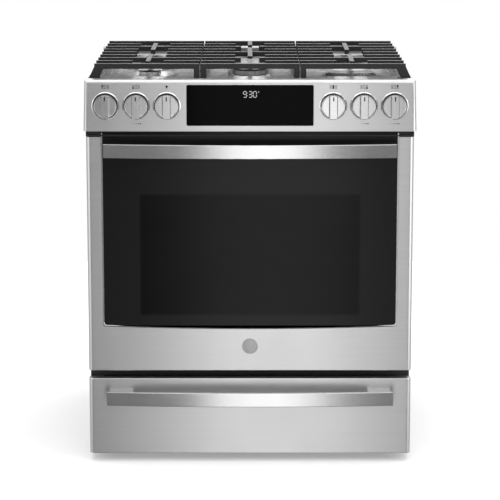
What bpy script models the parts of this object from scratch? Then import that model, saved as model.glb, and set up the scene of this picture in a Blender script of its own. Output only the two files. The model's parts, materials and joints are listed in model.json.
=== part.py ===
"""Gas range, 30 inch class: cabinet, oven, drop-down door, storage drawer, sealed cooktop and controls.

Metres, +Z up, X across, and the front faces -Y. The origin is on the floor, under the middle of the whole.
"""

import math

import bmesh
import bpy
from mathutils import Matrix, Vector

# Overall, and the front stacked from the floor up
WIDTH = 0.759
DEPTH = 0.710
TOE_HEIGHT = 0.020
DRAWER_HEIGHT = 0.1836
DRAWER_DOOR_GAP = 0.0184
DOOR_HEIGHT = 0.555
VENT_STRIP_HEIGHT = 0.016
FASCIA_HEIGHT = 0.1185
LEDGE_DROP = 0.004
GRATE_HEIGHT = 0.0325

# Clearances
GAP = 0.0003
MOVING_GAP = 0.0015

# Sheet and edges
SHEET = 0.002
EDGE_RADIUS = 0.010

# Oven door
DOOR_SKIN_DEPTH = 0.030
DOOR_THICKNESS = 0.057
SEAL_THICKNESS = 0.006
GLASS_THICKNESS = 0.004
GLASS_SIDE_MARGIN = 0.0345
GLASS_BOTTOM_MARGIN = 0.107
GLASS_SAG = 0.007
GLASS_CORNER = 0.009
WINDOW_SIDE_MARGIN = 0.123
WINDOW_BOTTOM_MARGIN = 0.134
WINDOW_TOP_MARGIN = 0.1345
WINDOW_CORNER = 0.012
HINGE_SETBACK = 0.035
HINGE_RISE = 0.025
HINGE_SIDE_MARGIN = 0.0495
HINGE_PIN_RADIUS = 0.0025
HINGE_ARM_THICKNESS = 0.005
HINGE_EAR_THICKNESS = 0.003
HINGE_ARM_REACH = 0.100
HINGE_ARM_WIDTH = 0.010
HINGE_ARM_OFFSET = 0.008
HINGE_ARM_SHOULDER = 0.018
HINGE_EYE_RADIUS = 0.006
HINGE_EYE_DEPTH = 0.004
HINGE_NOTCH_RISE = 0.020
DOOR_LINER_SIDE_MARGIN = 0.020
DOOR_LINER_RISE = 0.014
DOOR_LINER_DROP = 0.007
DOOR_LINER_RIM = 0.003
BADGE_RADIUS = 0.01825
BADGE_RISE = 0.059
BADGE_THICKNESS = 0.002

# Handles
DOOR_HANDLE_LENGTH = 0.674
DOOR_HANDLE_TALL = 0.032
DOOR_HANDLE_REACH = 0.060
DOOR_HANDLE_BOW = 0.018
DOOR_HANDLE_DROP = 0.011
DRAWER_HANDLE_LENGTH = 0.671
DRAWER_HANDLE_TALL = 0.033
DRAWER_HANDLE_REACH = 0.055
DRAWER_HANDLE_BOW = 0.013
DRAWER_HANDLE_DROP = 0.0236
HANDLE_THICKNESS = 0.009
HANDLE_BRACKET_LENGTH = 0.056
HANDLE_BRACKET_INSET = 0.004

# Controls
FASCIA_PROUD = 0.020
FASCIA_DEPTH = 0.0355
FASCIA_TOP_EXTRA = 0.0005
FASCIA_FLARE = 0.0035
DISPLAY_HEIGHT = 0.094
DISPLAY_RISE = 0.013
DISPLAY_TO_BEZEL = 0.013
DISPLAY_THICKNESS = 0.003
DISPLAY_CORNER = 0.003
BEZEL_EDGE_MARGIN = 0.0155
BEZEL_SPACING = 0.0065
KNOB_RISE = 0.059
KNOB_RADIUS = 0.0275
KNOB_SKIRT_DEPTH = 0.010
KNOB_DEPTH = 0.025
KNOB_GRIP_WIDTH = 0.022
KNOB_PUSH = 0.004
KNOB_GRIP_ROUND = 0.003
BEZEL_MARGIN = 0.0045
BEZEL_WIDTH = 0.003
BEZEL_PROUD = 0.003
VALVE_SET_BACK = 0.027
STEM_RADIUS = 0.004
STEM_HOLE_RADIUS = 0.006
SLEEVE_RADIUS = 0.007
SLEEVE_LENGTH = 0.020
VALVE_SIZE = 0.024
VALVE_LENGTH = 0.036
MANIFOLD_RADIUS = 0.009
GAS_TUBE_RADIUS = 0.004
SUPPLY_RADIUS = 0.008

# Cooktop
PAN_SKIRT = 0.0205
PAN_FLOOR_DROP = 0.0175
PAN_SHEET = 0.003
PLATEAU_HEIGHT = 0.007
SHOULDER_RADIUS = 0.014
RIM_WIDTH = 0.028
FRONT_LEDGE = 0.073
REAR_LEDGE = 0.050
RECESS_SLOPE = 0.012
REAR_TRIM_DEPTH = 0.058
REAR_TRIM_RISE = 0.014
BURNER_STEM_RADIUS = 0.016
BURNER_STEM_LENGTH = 0.028
BURNER_HEAD_HEIGHT = 0.010
CAP_THICKNESS = 0.005
CAP_CHAMFER_WIDTH = 0.003
CAP_OVERHANG = 0.002
CAP_CHAMFER_DEPTH = 0.002
HEAD_CHAMFER = 0.001
DISH_RIM = 0.002
DISH_CENTRE_RISE = 0.004
OVAL_WIDTH = 0.077
OVAL_LENGTH = 0.276
RECESS_CORNER = 0.030
PLATEAU_BASE_RADIUS = 0.088
PLATEAU_TOP_RADIUS = 0.074
OVAL_PLATEAU_SPREAD = 0.020
TRIM_EDGE_RADIUS = 0.008
VENT_SLOT_LENGTH = 0.060
VENT_SLOT_WIDTH = 0.010
VENT_SLOT_PITCH = 0.080
VENT_SLOTS_A_SIDE = 2

# Grates
GRATE_SIDE_MARGIN = 0.017
GRATE_FRONT_MARGIN = 0.0485
GRATE_REAR_MARGIN = 0.026
GRATE_SPLAY = 0.012
CENTRE_GRATE_WIDTH = 0.231
GRATE_SPACING = 0.0025
GRATE_ROWS = 9
BAR_WIDTH = 0.011
BAR_TALL = 0.012
RAIL_DROP = 0.007
LEG_WIDTH = 0.013
OUTER_LEG_WIDTH = 0.024
SIDE_FINGER_GAP = 0.037
CENTRE_FINGER_GAP = 0.036
CENTRE_SHORT_GAP = 0.022
CROSS_BAR_HALF = 0.085
CENTRE_BAR_BREAK = 0.030

# Cabinet and oven
CABINET_RISE = 0.004
BASE_RIM = 0.020
FRAME_SHEET = 0.004
OVEN_SIDE_MARGIN = 0.0895
OVEN_BOTTOM_MARGIN = 0.060
OVEN_TOP_MARGIN = 0.050
OVEN_REAR_MARGIN = 0.088
LINER_SHEET = 0.002
RIB_PITCH = 0.070
RIB_COUNT = 5
RIB_REACH = 0.010
RIB_TALL = 0.006
RACK_WIRE = 0.006
RACK_CORNER = 0.015
RACK_CROSS_WIRES = 11
RACK_SET_BACK = 0.027
RACK_REAR_MARGIN = 0.030
OVEN_BURNER_RADIUS = 0.008
OVEN_BURNER_CLEARANCE = 0.025
OVEN_BURNER_BEND = 0.030
OVEN_BURNER_SET_BACK = 0.090
OVEN_BURNER_SHARE = 0.6
LAMP_RADIUS = 0.025
LAMP_DEPTH = 0.012
LAMP_SIDE_MARGIN = 0.070
LAMP_DROP = 0.100
SEAL_SPREAD = 0.012
SERVICE_RISE = 0.060
GLAND_RADIUS = 0.011

# Storage drawer
DRAWER_FRONT_DEPTH = 0.022
DRAWER_OPENING_MARGIN = 0.0345
DRAWER_OPENING_DROP = 0.008
DRAWER_BOX_RISE = 0.006
DRAWER_BOX_HEIGHT = 0.115
DRAWER_BOX_SHEET = 0.003
DRAWER_REAR_MARGIN = 0.085
RAIL_TALL = 0.030
RAIL_RISE = 0.040

# Feet
FOOT_RADIUS = 0.019
FOOT_PAD = 0.008
FOOT_STEM_RADIUS = 0.005
FOOT_INSET = 0.040

# Derived planes
REAR = (DEPTH + DOOR_HANDLE_REACH) / 2
DOOR_FACE = REAR - DEPTH
FASCIA_FACE = DOOR_FACE - FASCIA_PROUD
FASCIA_BACK = FASCIA_FACE + FASCIA_DEPTH
FRAME_FACE = DOOR_FACE + DOOR_THICKNESS + SEAL_THICKNESS - GAP
HALF = WIDTH / 2
INSIDE = HALF - SHEET - GAP
DRAWER_TOP = TOE_HEIGHT + DRAWER_HEIGHT
DOOR_BOTTOM = DRAWER_TOP + DRAWER_DOOR_GAP
DOOR_TOP = DOOR_BOTTOM + DOOR_HEIGHT
FASCIA_BOTTOM = DOOR_TOP + VENT_STRIP_HEIGHT
FASCIA_TOP = FASCIA_BOTTOM + FASCIA_HEIGHT
LEDGE = FASCIA_TOP - LEDGE_DROP
TOP = LEDGE + GRATE_HEIGHT
CABINET_BOTTOM = TOE_HEIGHT + CABINET_RISE
CABINET_TOP = LEDGE - PAN_SKIRT - GAP
BASE_TOP = CABINET_BOTTOM + BASE_RIM
BACK_SHEET_FACE = REAR - SHEET
HINGE_Y = DOOR_FACE + HINGE_SETBACK
HINGE_Z = DOOR_BOTTOM + HINGE_RISE
HINGE_X = HALF - HINGE_SIDE_MARGIN
OVEN_HALF = HALF - OVEN_SIDE_MARGIN
OVEN_BOTTOM = DOOR_BOTTOM + OVEN_BOTTOM_MARGIN
OVEN_TOP = DOOR_TOP - OVEN_TOP_MARGIN
OVEN_FRONT = FRAME_FACE + FRAME_SHEET + GAP
OVEN_BACK = REAR - OVEN_REAR_MARGIN
KNOB_Z = FASCIA_BOTTOM + KNOB_RISE
BEZEL_RADIUS = KNOB_RADIUS + BEZEL_MARGIN
KNOB_EDGE = BEZEL_RADIUS + BEZEL_EDGE_MARGIN
KNOB_PITCH = 2 * BEZEL_RADIUS + BEZEL_SPACING
PAN_HALF = HALF + FASCIA_TOP_EXTRA
PAN_FRONT = FASCIA_BACK + GAP
PAN_REAR = REAR - SHEET - REAR_TRIM_DEPTH - GAP
PAN_FLOOR = LEDGE - PAN_FLOOR_DROP
PLATEAU = PAN_FLOOR + PLATEAU_HEIGHT
GRATE_HALF = HALF - GRATE_SIDE_MARGIN
GRATE_FRONT = PAN_FRONT + GRATE_FRONT_MARGIN
GRATE_BACK = PAN_REAR - GRATE_REAR_MARGIN
ROW_PITCH = (GRATE_BACK - GRATE_FRONT - BAR_WIDTH) / (GRATE_ROWS - 1)
SIDE_GRATE_INNER = CENTRE_GRATE_WIDTH / 2 + GRATE_SPACING
SIDE_GRATE_X = (GRATE_HALF + SIDE_GRATE_INNER) / 2
FRONT_BURNER_ROW, REAR_BURNER_ROW, MIDDLE_ROW = 2, 6, 4
DRAWER_BOX_HALF = HALF - DRAWER_OPENING_MARGIN - 2 * MOVING_GAP
DRAWER_BOX_BOTTOM = BASE_TOP + DRAWER_BOX_RISE
DRAWER_OPENING_TOP = DRAWER_TOP - DRAWER_OPENING_DROP
ROUND = 24

# Each finish is a colour, a roughness and a metallic value.
STEEL = ((0.62, 0.62, 0.62), 0.30, 1.0)
DARK_STEEL = ((0.30, 0.30, 0.31), 0.45, 1.0)
GALVANISED = ((0.50, 0.52, 0.53), 0.55, 1.0)
PAINT = ((0.05, 0.05, 0.055), 0.45, 0.0)
ENAMEL = ((0.035, 0.045, 0.075), 0.20, 0.0)
CAST_IRON = ((0.020, 0.020, 0.020), 0.60, 0.0)
ALUMINIUM = ((0.68, 0.68, 0.66), 0.40, 1.0)
BLACK_GLASS = ((0.010, 0.010, 0.010), 0.05, 0.0)
CHROME = ((0.80, 0.80, 0.80), 0.10, 1.0)
BRASS = ((0.70, 0.50, 0.20), 0.30, 1.0)
RUBBER = ((0.03, 0.03, 0.03), 0.80, 0.0)
FIBRE = ((0.10, 0.10, 0.10), 0.90, 0.0)
LENS = ((0.80, 0.82, 0.80), 0.05, 0.0)


# ---- making and placing ----


def clear_scene():
    """Removes the start-up objects."""
    for item in list(bpy.data.objects):
        bpy.data.objects.remove(item, do_unlink=True)


def new_collection(name, parent=None):
    """A collection linked under another, or under the scene."""
    made = bpy.data.collections.new(name)
    (parent or bpy.context.scene.collection).children.link(made)
    return made


clear_scene()
PARTS = new_collection("gas_range")
TOOLS = new_collection("cutters_and_joins")
TOOLS.hide_render = True


def add_object(name, data, where, tool=False):
    """An object holding a mesh or a curve, in the parts or among the tools."""
    made = bpy.data.objects.new(name, data)
    made.location = where
    (TOOLS if tool else PARTS).objects.link(made)
    if tool:
        made.hide_render = True
        made.display_type = "WIRE"
    return made


def add_mesh(name, bm, where, tool=False):
    """An object from a bmesh built about its own origin."""
    mesh = bpy.data.meshes.new(name)
    bmesh.ops.recalc_face_normals(bm, faces=bm.faces)
    bm.to_mesh(mesh)
    bm.free()
    return add_object(name, mesh, where, tool)


def block(name, low, high, tool=False):
    """A box between two corners."""
    low, high = Vector(low), Vector(high)
    bm = bmesh.new()
    bmesh.ops.create_cube(bm, size=1.0, matrix=Matrix.Diagonal((*(high - low), 1.0)))
    return add_mesh(name, bm, (low + high) / 2, tool)


def rod(name, start, end, radius, tip=None, sides=ROUND, tool=False):
    """A round bar between two points, or a cone when its tip has another radius."""
    start, end = Vector(start), Vector(end)
    along = end - start
    bm = bmesh.new()
    bmesh.ops.create_cone(
        bm,
        cap_ends=True,
        segments=sides,
        radius1=radius,
        radius2=radius if tip is None else tip,
        depth=along.length,
        matrix=along.to_track_quat("Z", "Y").to_matrix().to_4x4(),
    )
    return add_mesh(name, bm, (start + end) / 2, tool)


def turned(name, profile, centre, tool=False):
    """A piece turned about a vertical axis. The profile's (radius, height) points run top to bottom."""
    bm = bmesh.new()
    points = [bm.verts.new((radius, 0.0, height)) for radius, height in profile]
    for first, second in zip(points, points[1:]):
        bm.edges.new((first, second))
    mesh = bpy.data.meshes.new(name)
    bm.to_mesh(mesh)
    bm.free()
    made = add_object(name, mesh, centre, tool)
    screw = made.modifiers.new("Turn", "SCREW")
    screw.steps = screw.render_steps = ROUND
    screw.use_merge_vertices = True
    screw.merge_threshold = 0.00001
    return made


# An outline drawn flat is stood up in one of these planes. Its thickness runs along the third axis.
PLANES = {
    "XY": Matrix.Identity(4),
    "XZ": Matrix.Rotation(math.radians(90), 4, "X"),
    "YZ": Matrix(((0, 0, 1, 0), (1, 0, 0, 0), (0, 1, 0, 0), (0, 0, 0, 1))),
}
THICKNESS_AXIS = {"XY": 2, "XZ": 1, "YZ": 0}


def as_mesh(sketch):
    """A curve's surface as a closed mesh. The curve is removed."""
    bpy.context.view_layer.update()
    graph = bpy.context.evaluated_depsgraph_get()
    mesh = bpy.data.meshes.new_from_object(sketch.evaluated_get(graph))
    bpy.data.objects.remove(sketch, do_unlink=True)
    bm = bmesh.new()
    bm.from_mesh(mesh)
    bpy.data.meshes.remove(mesh)
    bmesh.ops.remove_doubles(bm, verts=bm.verts, dist=0.00001)
    return bm


def plate(name, outline, plane, low, high, holes=(), tool=False):
    """A flat outline with holes, drawn in a plane and thick from low to high along its third axis."""
    curve = bpy.data.curves.new(name, "CURVE")
    curve.dimensions = "2D"
    curve.fill_mode = "BOTH"
    curve.extrude = (high - low) / 2
    for loop in (outline, *holes):
        spline = curve.splines.new("POLY")
        spline.points.add(len(loop) - 1)
        for point, (u, v) in zip(spline.points, loop):
            point.co = (u, v, 0.0, 1.0)
        spline.use_cyclic_u = True
    bm = as_mesh(add_object(name, curve, (0, 0, 0)))
    bmesh.ops.transform(bm, matrix=PLANES[plane], verts=bm.verts)
    where = Vector((0, 0, 0))
    where[THICKNESS_AXIS[plane]] = (low + high) / 2
    return add_mesh(name, bm, where, tool)


def tube(name, route, radius, closed=False, tool=False):
    """A bent tube along points."""
    curve = bpy.data.curves.new(name, "CURVE")
    curve.dimensions = "3D"
    curve.bevel_depth = radius
    curve.bevel_resolution = 2
    curve.use_fill_caps = not closed
    spline = curve.splines.new("POLY")
    spline.points.add(len(route) - 1)
    for point, place in zip(spline.points, route):
        point.co = (*place, 1.0)
    spline.use_cyclic_u = closed
    return add_mesh(name, as_mesh(add_object(name, curve, (0, 0, 0))), (0, 0, 0), tool)


def arc(centre, radius, start, end, steps):
    """Points along an arc, its angles in degrees."""
    angles = [math.radians(start + (end - start) * step / steps) for step in range(steps + 1)]
    return [(centre[0] + radius * math.cos(a), centre[1] + radius * math.sin(a)) for a in angles]


def circle(centre, radius, sides=ROUND):
    """A round outline."""
    return arc(centre, radius, 0, 360, sides)[:-1]


def rectangle(low, high, radius=0.0, steps=3):
    """A rectangular outline, with round corners if they have a radius."""
    (left, bottom), (right, top) = low, high
    if not radius:
        return [(left, bottom), (right, bottom), (right, top), (left, top)]
    return (
        arc((left + radius, bottom + radius), radius, 180, 270, steps)
        + arc((right - radius, bottom + radius), radius, 270, 360, steps)
        + arc((right - radius, top - radius), radius, 0, 90, steps)
        + arc((left + radius, top - radius), radius, 90, 180, steps)
    )


def both_sides(function):
    """Calls a function for the left side, then for the right."""
    for side, sign in (("left", -1), ("right", 1)):
        function(side, sign)


def mirrored_block(name, sign, low, high, tool=False):
    """A box given on the right-hand side, put on the side that the sign names."""
    across = sorted((sign * low[0], sign * high[0]))
    return block(name, (across[0], low[1], low[2]), (across[1], high[1], high[2]), tool)


def boolean(target, tools, operation):
    """Joins tools to a piece, or cuts them from it, and carries them with it."""
    group = new_collection(f"{target.name}_{operation.lower()}", TOOLS)
    group.hide_render = True
    for item in tools:
        TOOLS.objects.unlink(item)
        group.objects.link(item)
        item.parent = target
        item.location = item.location - target.location
    modifier = target.modifiers.new(operation.title(), "BOOLEAN")
    modifier.operation = operation
    modifier.solver = "EXACT"
    modifier.operand_type = "COLLECTION"
    modifier.collection = group
    return target


def join(target, *tools):
    """One body from a piece and the tools."""
    return boolean(target, tools, "UNION")


def cut(target, *tools):
    """A piece less the tools."""
    return boolean(target, tools, "DIFFERENCE")


def round_edges(target, radius, wanted, segments=3):
    """Bevels the edges whose middle and direction the test wants."""
    mesh = target.data
    bm = bmesh.new()
    bm.from_mesh(mesh)
    weight = bm.edges.layers.float.new("bevel_weight_edge")
    for edge in bm.edges:
        first, second = (vert.co for vert in edge.verts)
        edge[weight] = float(wanted((first + second) / 2, (second - first).normalized()))
    bm.to_mesh(mesh)
    bm.free()
    bevel = target.modifiers.new("Round edges", "BEVEL")
    bevel.limit_method = "WEIGHT"
    bevel.width = radius
    bevel.segments = segments
    return target


def front_upright(middle, direction):
    """Whether an edge is one of the two upright ones at the front."""
    return abs(direction.z) > 0.9 and middle.y < 0


def hang(piece, pivot):
    """Hangs a piece on the empty that stands on its joint's axis."""
    piece.parent = pivot
    piece.location = piece.location - pivot.location
    return piece


def pivot_at(name, where):
    """An empty on a joint's axis."""
    made = bpy.data.objects.new(name, None)
    made.location = where
    made.empty_display_size = 0.03
    PARTS.objects.link(made)
    return made


def finish(piece, look):
    """Gives a piece a material of its own, and smooth shading between its sharp edges."""
    colour, roughness, metallic = look
    material = bpy.data.materials.new(piece.name)
    material.use_nodes = True
    shader = material.node_tree.nodes["Principled BSDF"]
    shader.inputs["Base Color"].default_value = (*colour, 1.0)
    shader.inputs["Roughness"].default_value = roughness
    shader.inputs["Metallic"].default_value = metallic
    piece.data.materials.append(material)
    piece.data.shade_smooth()
    piece.data.set_sharp_from_angle(angle=math.radians(35))
    return piece


# ---- cabinet ----


def make_base_pan():
    """The bottom tray, with a low rim and a hole for each foot's stem."""
    back = BACK_SHEET_FACE - GAP
    pan = block("base_pan", (-INSIDE, FRAME_FACE, CABINET_BOTTOM), (INSIDE, back, BASE_TOP))
    wall = 2 * SHEET
    hollow = block(
        "base_hollow",
        (-INSIDE + wall, FRAME_FACE + wall, CABINET_BOTTOM + SHEET),
        (INSIDE - wall, back - wall, BASE_TOP + SHEET),
        tool=True,
    )
    holes = [
        rod(
            f"foot_hole_{index}",
            (x, y, CABINET_BOTTOM - SHEET),
            (x, y, BASE_TOP - SHEET),
            FOOT_STEM_RADIUS + GAP,
            tool=True,
        )
        for index, (_, x, y) in enumerate(foot_places())
    ]
    finish(cut(pan, hollow, *holes), GALVANISED)


def foot_places():
    """Each foot's name and its place on the floor."""
    front, back = FRAME_FACE + FOOT_INSET, BACK_SHEET_FACE - FOOT_INSET
    across = INSIDE - FOOT_INSET
    return [
        ("foot_front_left", -across, front),
        ("foot_front_right", across, front),
        ("foot_rear_left", -across, back),
        ("foot_rear_right", across, back),
    ]


def make_feet():
    """Four levelling feet: a pad, a nut under the base and a threaded stem through it."""
    nut_top = CABINET_BOTTOM - GAP
    nut_bottom = FOOT_PAD + 2 * GAP
    stem_top = BASE_TOP - SHEET
    for name, x, y in foot_places():
        profile = [
            (0, stem_top),
            (FOOT_STEM_RADIUS, stem_top),
            (FOOT_STEM_RADIUS, nut_top),
            (2 * FOOT_STEM_RADIUS, nut_top),
            (2 * FOOT_STEM_RADIUS, nut_bottom),
            (FOOT_RADIUS - SHEET, FOOT_PAD),
            (FOOT_RADIUS, 0),
            (0, 0),
        ]
        finish(turned(name, profile, (x, y, 0)), RUBBER)


def make_side_panel(side, sign):
    """A cabinet side. It steps forward beside the drawer, and at the top to carry the control fascia."""
    drawer_step = DOOR_FACE + DRAWER_FRONT_DEPTH + MOVING_GAP
    outline = [
        (drawer_step, CABINET_BOTTOM),
        (BACK_SHEET_FACE - GAP, CABINET_BOTTOM),
        (BACK_SHEET_FACE - GAP, CABINET_TOP),
        (FASCIA_BACK + GAP, CABINET_TOP),
        (FASCIA_BACK + GAP, FASCIA_BOTTOM),
        (FRAME_FACE, FASCIA_BOTTOM),
        (FRAME_FACE, DRAWER_OPENING_TOP),
        (drawer_step, DRAWER_OPENING_TOP),
    ]
    low, high = sorted((sign * (HALF - SHEET), sign * HALF))
    finish(plate(f"side_panel_{side}", outline, "YZ", low, high), PAINT)


def make_back_panel():
    """The rear sheet, with access holes for the gas inlet and the power cord's gland."""
    outline = rectangle((-HALF, CABINET_BOTTOM), (HALF, CABINET_TOP))
    holes = [circle(gas_inlet_place(), 3 * SUPPLY_RADIUS), circle(gland_place(), GLAND_RADIUS)]
    finish(plate("back_panel", outline, "XZ", BACK_SHEET_FACE, REAR, holes), GALVANISED)


def supply_x():
    """How far across the gas supply pipe runs."""
    return (OVEN_HALF + INSIDE) / 2


def gas_inlet_place():
    """Where the gas supply reaches the rear, as (x, z)."""
    return (supply_x(), BASE_TOP + SERVICE_RISE)


def gland_place():
    """Where the power cord's gland sits in the rear, as (x, z)."""
    return (-supply_x(), BASE_TOP + SERVICE_RISE)


def make_power_gland():
    """The bush that a power cord would pass, in the rear sheet's hole."""
    x, z = gland_place()
    inside = circle((x, z), GLAND_RADIUS / 2)
    bush = plate(
        "power_cord_gland",
        circle((x, z), GLAND_RADIUS - GAP),
        "XZ",
        BACK_SHEET_FACE - 4 * SHEET,
        REAR - GAP,
        [inside],
    )
    collar = plate(
        "gland_collar",
        circle((x, z), GLAND_RADIUS + SHEET),
        "XZ",
        BACK_SHEET_FACE - 3 * SHEET,
        BACK_SHEET_FACE - GAP,
        [inside],
        tool=True,
    )
    finish(join(bush, collar), RUBBER)


def make_front_frame():
    """The frame round the oven and drawer openings, with the ears and pins that the door turns on."""
    drawer_half = HALF - DRAWER_OPENING_MARGIN
    foot = BASE_TOP + GAP
    outline = [
        (-INSIDE, foot),
        (-drawer_half, foot),
        (-drawer_half, DRAWER_OPENING_TOP),
        (drawer_half, DRAWER_OPENING_TOP),
        (drawer_half, foot),
        (INSIDE, foot),
        (INSIDE, FASCIA_BOTTOM - GAP),
        (-INSIDE, FASCIA_BOTTOM - GAP),
    ]
    oven = rectangle((-OVEN_HALF, OVEN_BOTTOM), (OVEN_HALF, OVEN_TOP))
    frame = plate("front_frame", outline, "XZ", FRAME_FACE, FRAME_FACE + FRAME_SHEET, [oven])
    ears = []
    half_arm = HINGE_ARM_THICKNESS / 2 + MOVING_GAP
    for sign in (-1, 1):
        middle = sign * HINGE_X
        for turn in (-1, 1):
            inner = middle + turn * half_arm
            outer = middle + turn * (half_arm + HINGE_EAR_THICKNESS)
            low, high = sorted((inner, outer))
            ears.append(
                block(
                    f"hinge_ear_{sign}_{turn}",
                    (low, HINGE_Y - HINGE_EYE_RADIUS, HINGE_Z - HINGE_EYE_DEPTH),
                    (high, FRAME_FACE + SHEET, HINGE_Z + HINGE_EYE_RADIUS),
                    tool=True,
                )
            )
        reach = half_arm + HINGE_EAR_THICKNESS / 2
        ears.append(
            rod(
                f"hinge_pin_{sign}",
                (middle - reach, HINGE_Y, HINGE_Z),
                (middle + reach, HINGE_Y, HINGE_Z),
                HINGE_PIN_RADIUS,
                sides=12,
                tool=True,
            )
        )
    finish(join(frame, *ears), DARK_STEEL)


def make_vent_strip():
    """The dark vent strip between the door and the control fascia."""
    strip = block(
        "door_vent_strip",
        (-HALF, DOOR_FACE, DOOR_TOP + MOVING_GAP),
        (HALF, FRAME_FACE - GAP, FASCIA_BOTTOM - GAP),
    )
    finish(round_edges(strip, EDGE_RADIUS, front_upright), PAINT)


# ---- oven ----


def make_oven_liner():
    """The enamelled oven box, open at the front, with ribs that carry the racks."""
    outer = OVEN_HALF + LINER_SHEET
    liner = block(
        "oven_liner",
        (-outer, OVEN_FRONT, OVEN_BOTTOM - LINER_SHEET),
        (outer, OVEN_BACK + LINER_SHEET, OVEN_TOP + LINER_SHEET),
    )
    hollow = block(
        "oven_hollow",
        (-OVEN_HALF, OVEN_FRONT - LINER_SHEET, OVEN_BOTTOM),
        (OVEN_HALF, OVEN_BACK, OVEN_TOP),
        tool=True,
    )
    cut(liner, hollow)
    ribs = []
    for level in range(RIB_COUNT):
        for sign in (-1, 1):
            ribs.append(
                mirrored_block(
                    f"rack_rib_{level}_{sign}",
                    sign,
                    (OVEN_HALF - RIB_REACH, OVEN_FRONT + LINER_SHEET, rib_top(level) - RIB_TALL),
                    (OVEN_HALF + LINER_SHEET / 2, OVEN_BACK - LINER_SHEET, rib_top(level)),
                    tool=True,
                )
            )
    finish(join(liner, *ribs), ENAMEL)


def rib_top(level):
    """The height that a rack rests on at one level."""
    return OVEN_BOTTOM + RIB_PITCH * (level + 1)


def make_oven_seal():
    """The gasket round the oven opening, which the shut door presses on."""
    spread = SEAL_SPREAD
    middle = FRAME_FACE - (SEAL_THICKNESS - GAP) / 2
    route = rectangle(
        (-OVEN_HALF - spread, OVEN_BOTTOM - spread),
        (OVEN_HALF + spread, OVEN_TOP + spread),
        radius=spread,
    )
    points = [(x, middle, z) for x, z in route]
    finish(tube("oven_door_seal", points, SEAL_THICKNESS / 2 - 2 * GAP, closed=True), FIBRE)


def make_oven_burner(name, height):
    """A tube burner bent to a U, fed from the rear wall."""
    reach = OVEN_HALF * OVEN_BURNER_SHARE
    bend = OVEN_BURNER_BEND
    back = OVEN_BACK - GAP
    front = OVEN_FRONT + OVEN_BURNER_SET_BACK
    path = [(-reach, back)]
    path += arc((-reach + bend, front + bend), bend, 180, 270, 3)
    path += arc((reach - bend, front + bend), bend, 270, 360, 3)
    path += [(reach, back)]
    finish(tube(name, [(x, y, height) for x, y in path], OVEN_BURNER_RADIUS), DARK_STEEL)


def make_oven_lamp():
    """The oven lamp's glass cap, high on the rear wall."""
    x, z = -OVEN_HALF + LAMP_SIDE_MARGIN, OVEN_TOP - LAMP_DROP
    lens = rod("oven_lamp_lens", (x, OVEN_BACK - GAP, z), (x, OVEN_BACK - LAMP_DEPTH, z), LAMP_RADIUS)
    finish(lens, LENS)


def make_rack(name, level):
    """A wire rack that rests on a pair of ribs."""
    half = OVEN_HALF - 2 * MOVING_GAP
    front = OVEN_FRONT + RACK_SET_BACK
    back = OVEN_BACK - RACK_REAR_MARGIN
    low = rib_top(level) + GAP
    high = low + RACK_WIRE
    pivot = pivot_at(f"{name}_slide", (0, front, low))
    rack = plate(
        name,
        rectangle((-half, front), (half, back), radius=RACK_CORNER),
        "XY",
        low,
        high,
        [
            rectangle(
                (-half + RACK_WIRE, front + RACK_WIRE),
                (half - RACK_WIRE, back - RACK_WIRE),
                RACK_CORNER - RACK_WIRE,
            )
        ],
    )
    thin = RACK_WIRE / 3
    wires = []
    pitch = 2 * half / (RACK_CROSS_WIRES + 1)
    for index in range(1, RACK_CROSS_WIRES + 1):
        x = -half + pitch * index
        wires.append(
            block(
                f"{name}_wire_{index}",
                (x - thin, front + RACK_WIRE / 2, high - 2.5 * thin),
                (x + thin, back - RACK_WIRE / 2, high - thin / 2),
                tool=True,
            )
        )
    middle = (front + back) / 2
    wires.append(
        block(
            f"{name}_stay",
            (-half + RACK_WIRE / 2, middle - thin, low + thin / 4),
            (half - RACK_WIRE / 2, middle + thin, high - thin),
            tool=True,
        )
    )
    hang(finish(join(rack, *wires), CHROME), pivot)


# ---- oven door ----


def glass_outline(inset):
    """The door glass seen from the front: it runs off the door's top, and its bottom edge sags a little."""
    half = HALF - GLASS_SIDE_MARGIN - inset
    side_bottom = DOOR_BOTTOM + GLASS_BOTTOM_MARGIN + inset
    span = half - GLASS_CORNER
    left = arc((-span, side_bottom + GLASS_CORNER), GLASS_CORNER, 180, 265, 3)
    right = arc((span, side_bottom + GLASS_CORNER), GLASS_CORNER, 275, 360, 3)
    steps = 8
    between = [-span + 2 * span * step / steps for step in range(1, steps)]
    sag = [(x, side_bottom - GLASS_SAG * (1 - (x / span) ** 2)) for x in between]
    return left + sag + right


def make_door(pivot):
    """The drop-down door: skin, outer glass, inner liner, window, badge, hinge arms and handle."""
    make_door_skin(pivot)
    make_door_glass(pivot)
    make_door_liner(pivot)
    make_door_badge(pivot)
    both_sides(lambda side, sign: make_hinge_arm(side, sign, pivot))
    handle_top = DOOR_TOP - DOOR_HANDLE_DROP
    make_handle(
        "door_handle",
        DOOR_HANDLE_LENGTH,
        DOOR_HANDLE_REACH,
        DOOR_HANDLE_BOW,
        (handle_top - DOOR_HANDLE_TALL, handle_top),
        pivot,
    )


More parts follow.
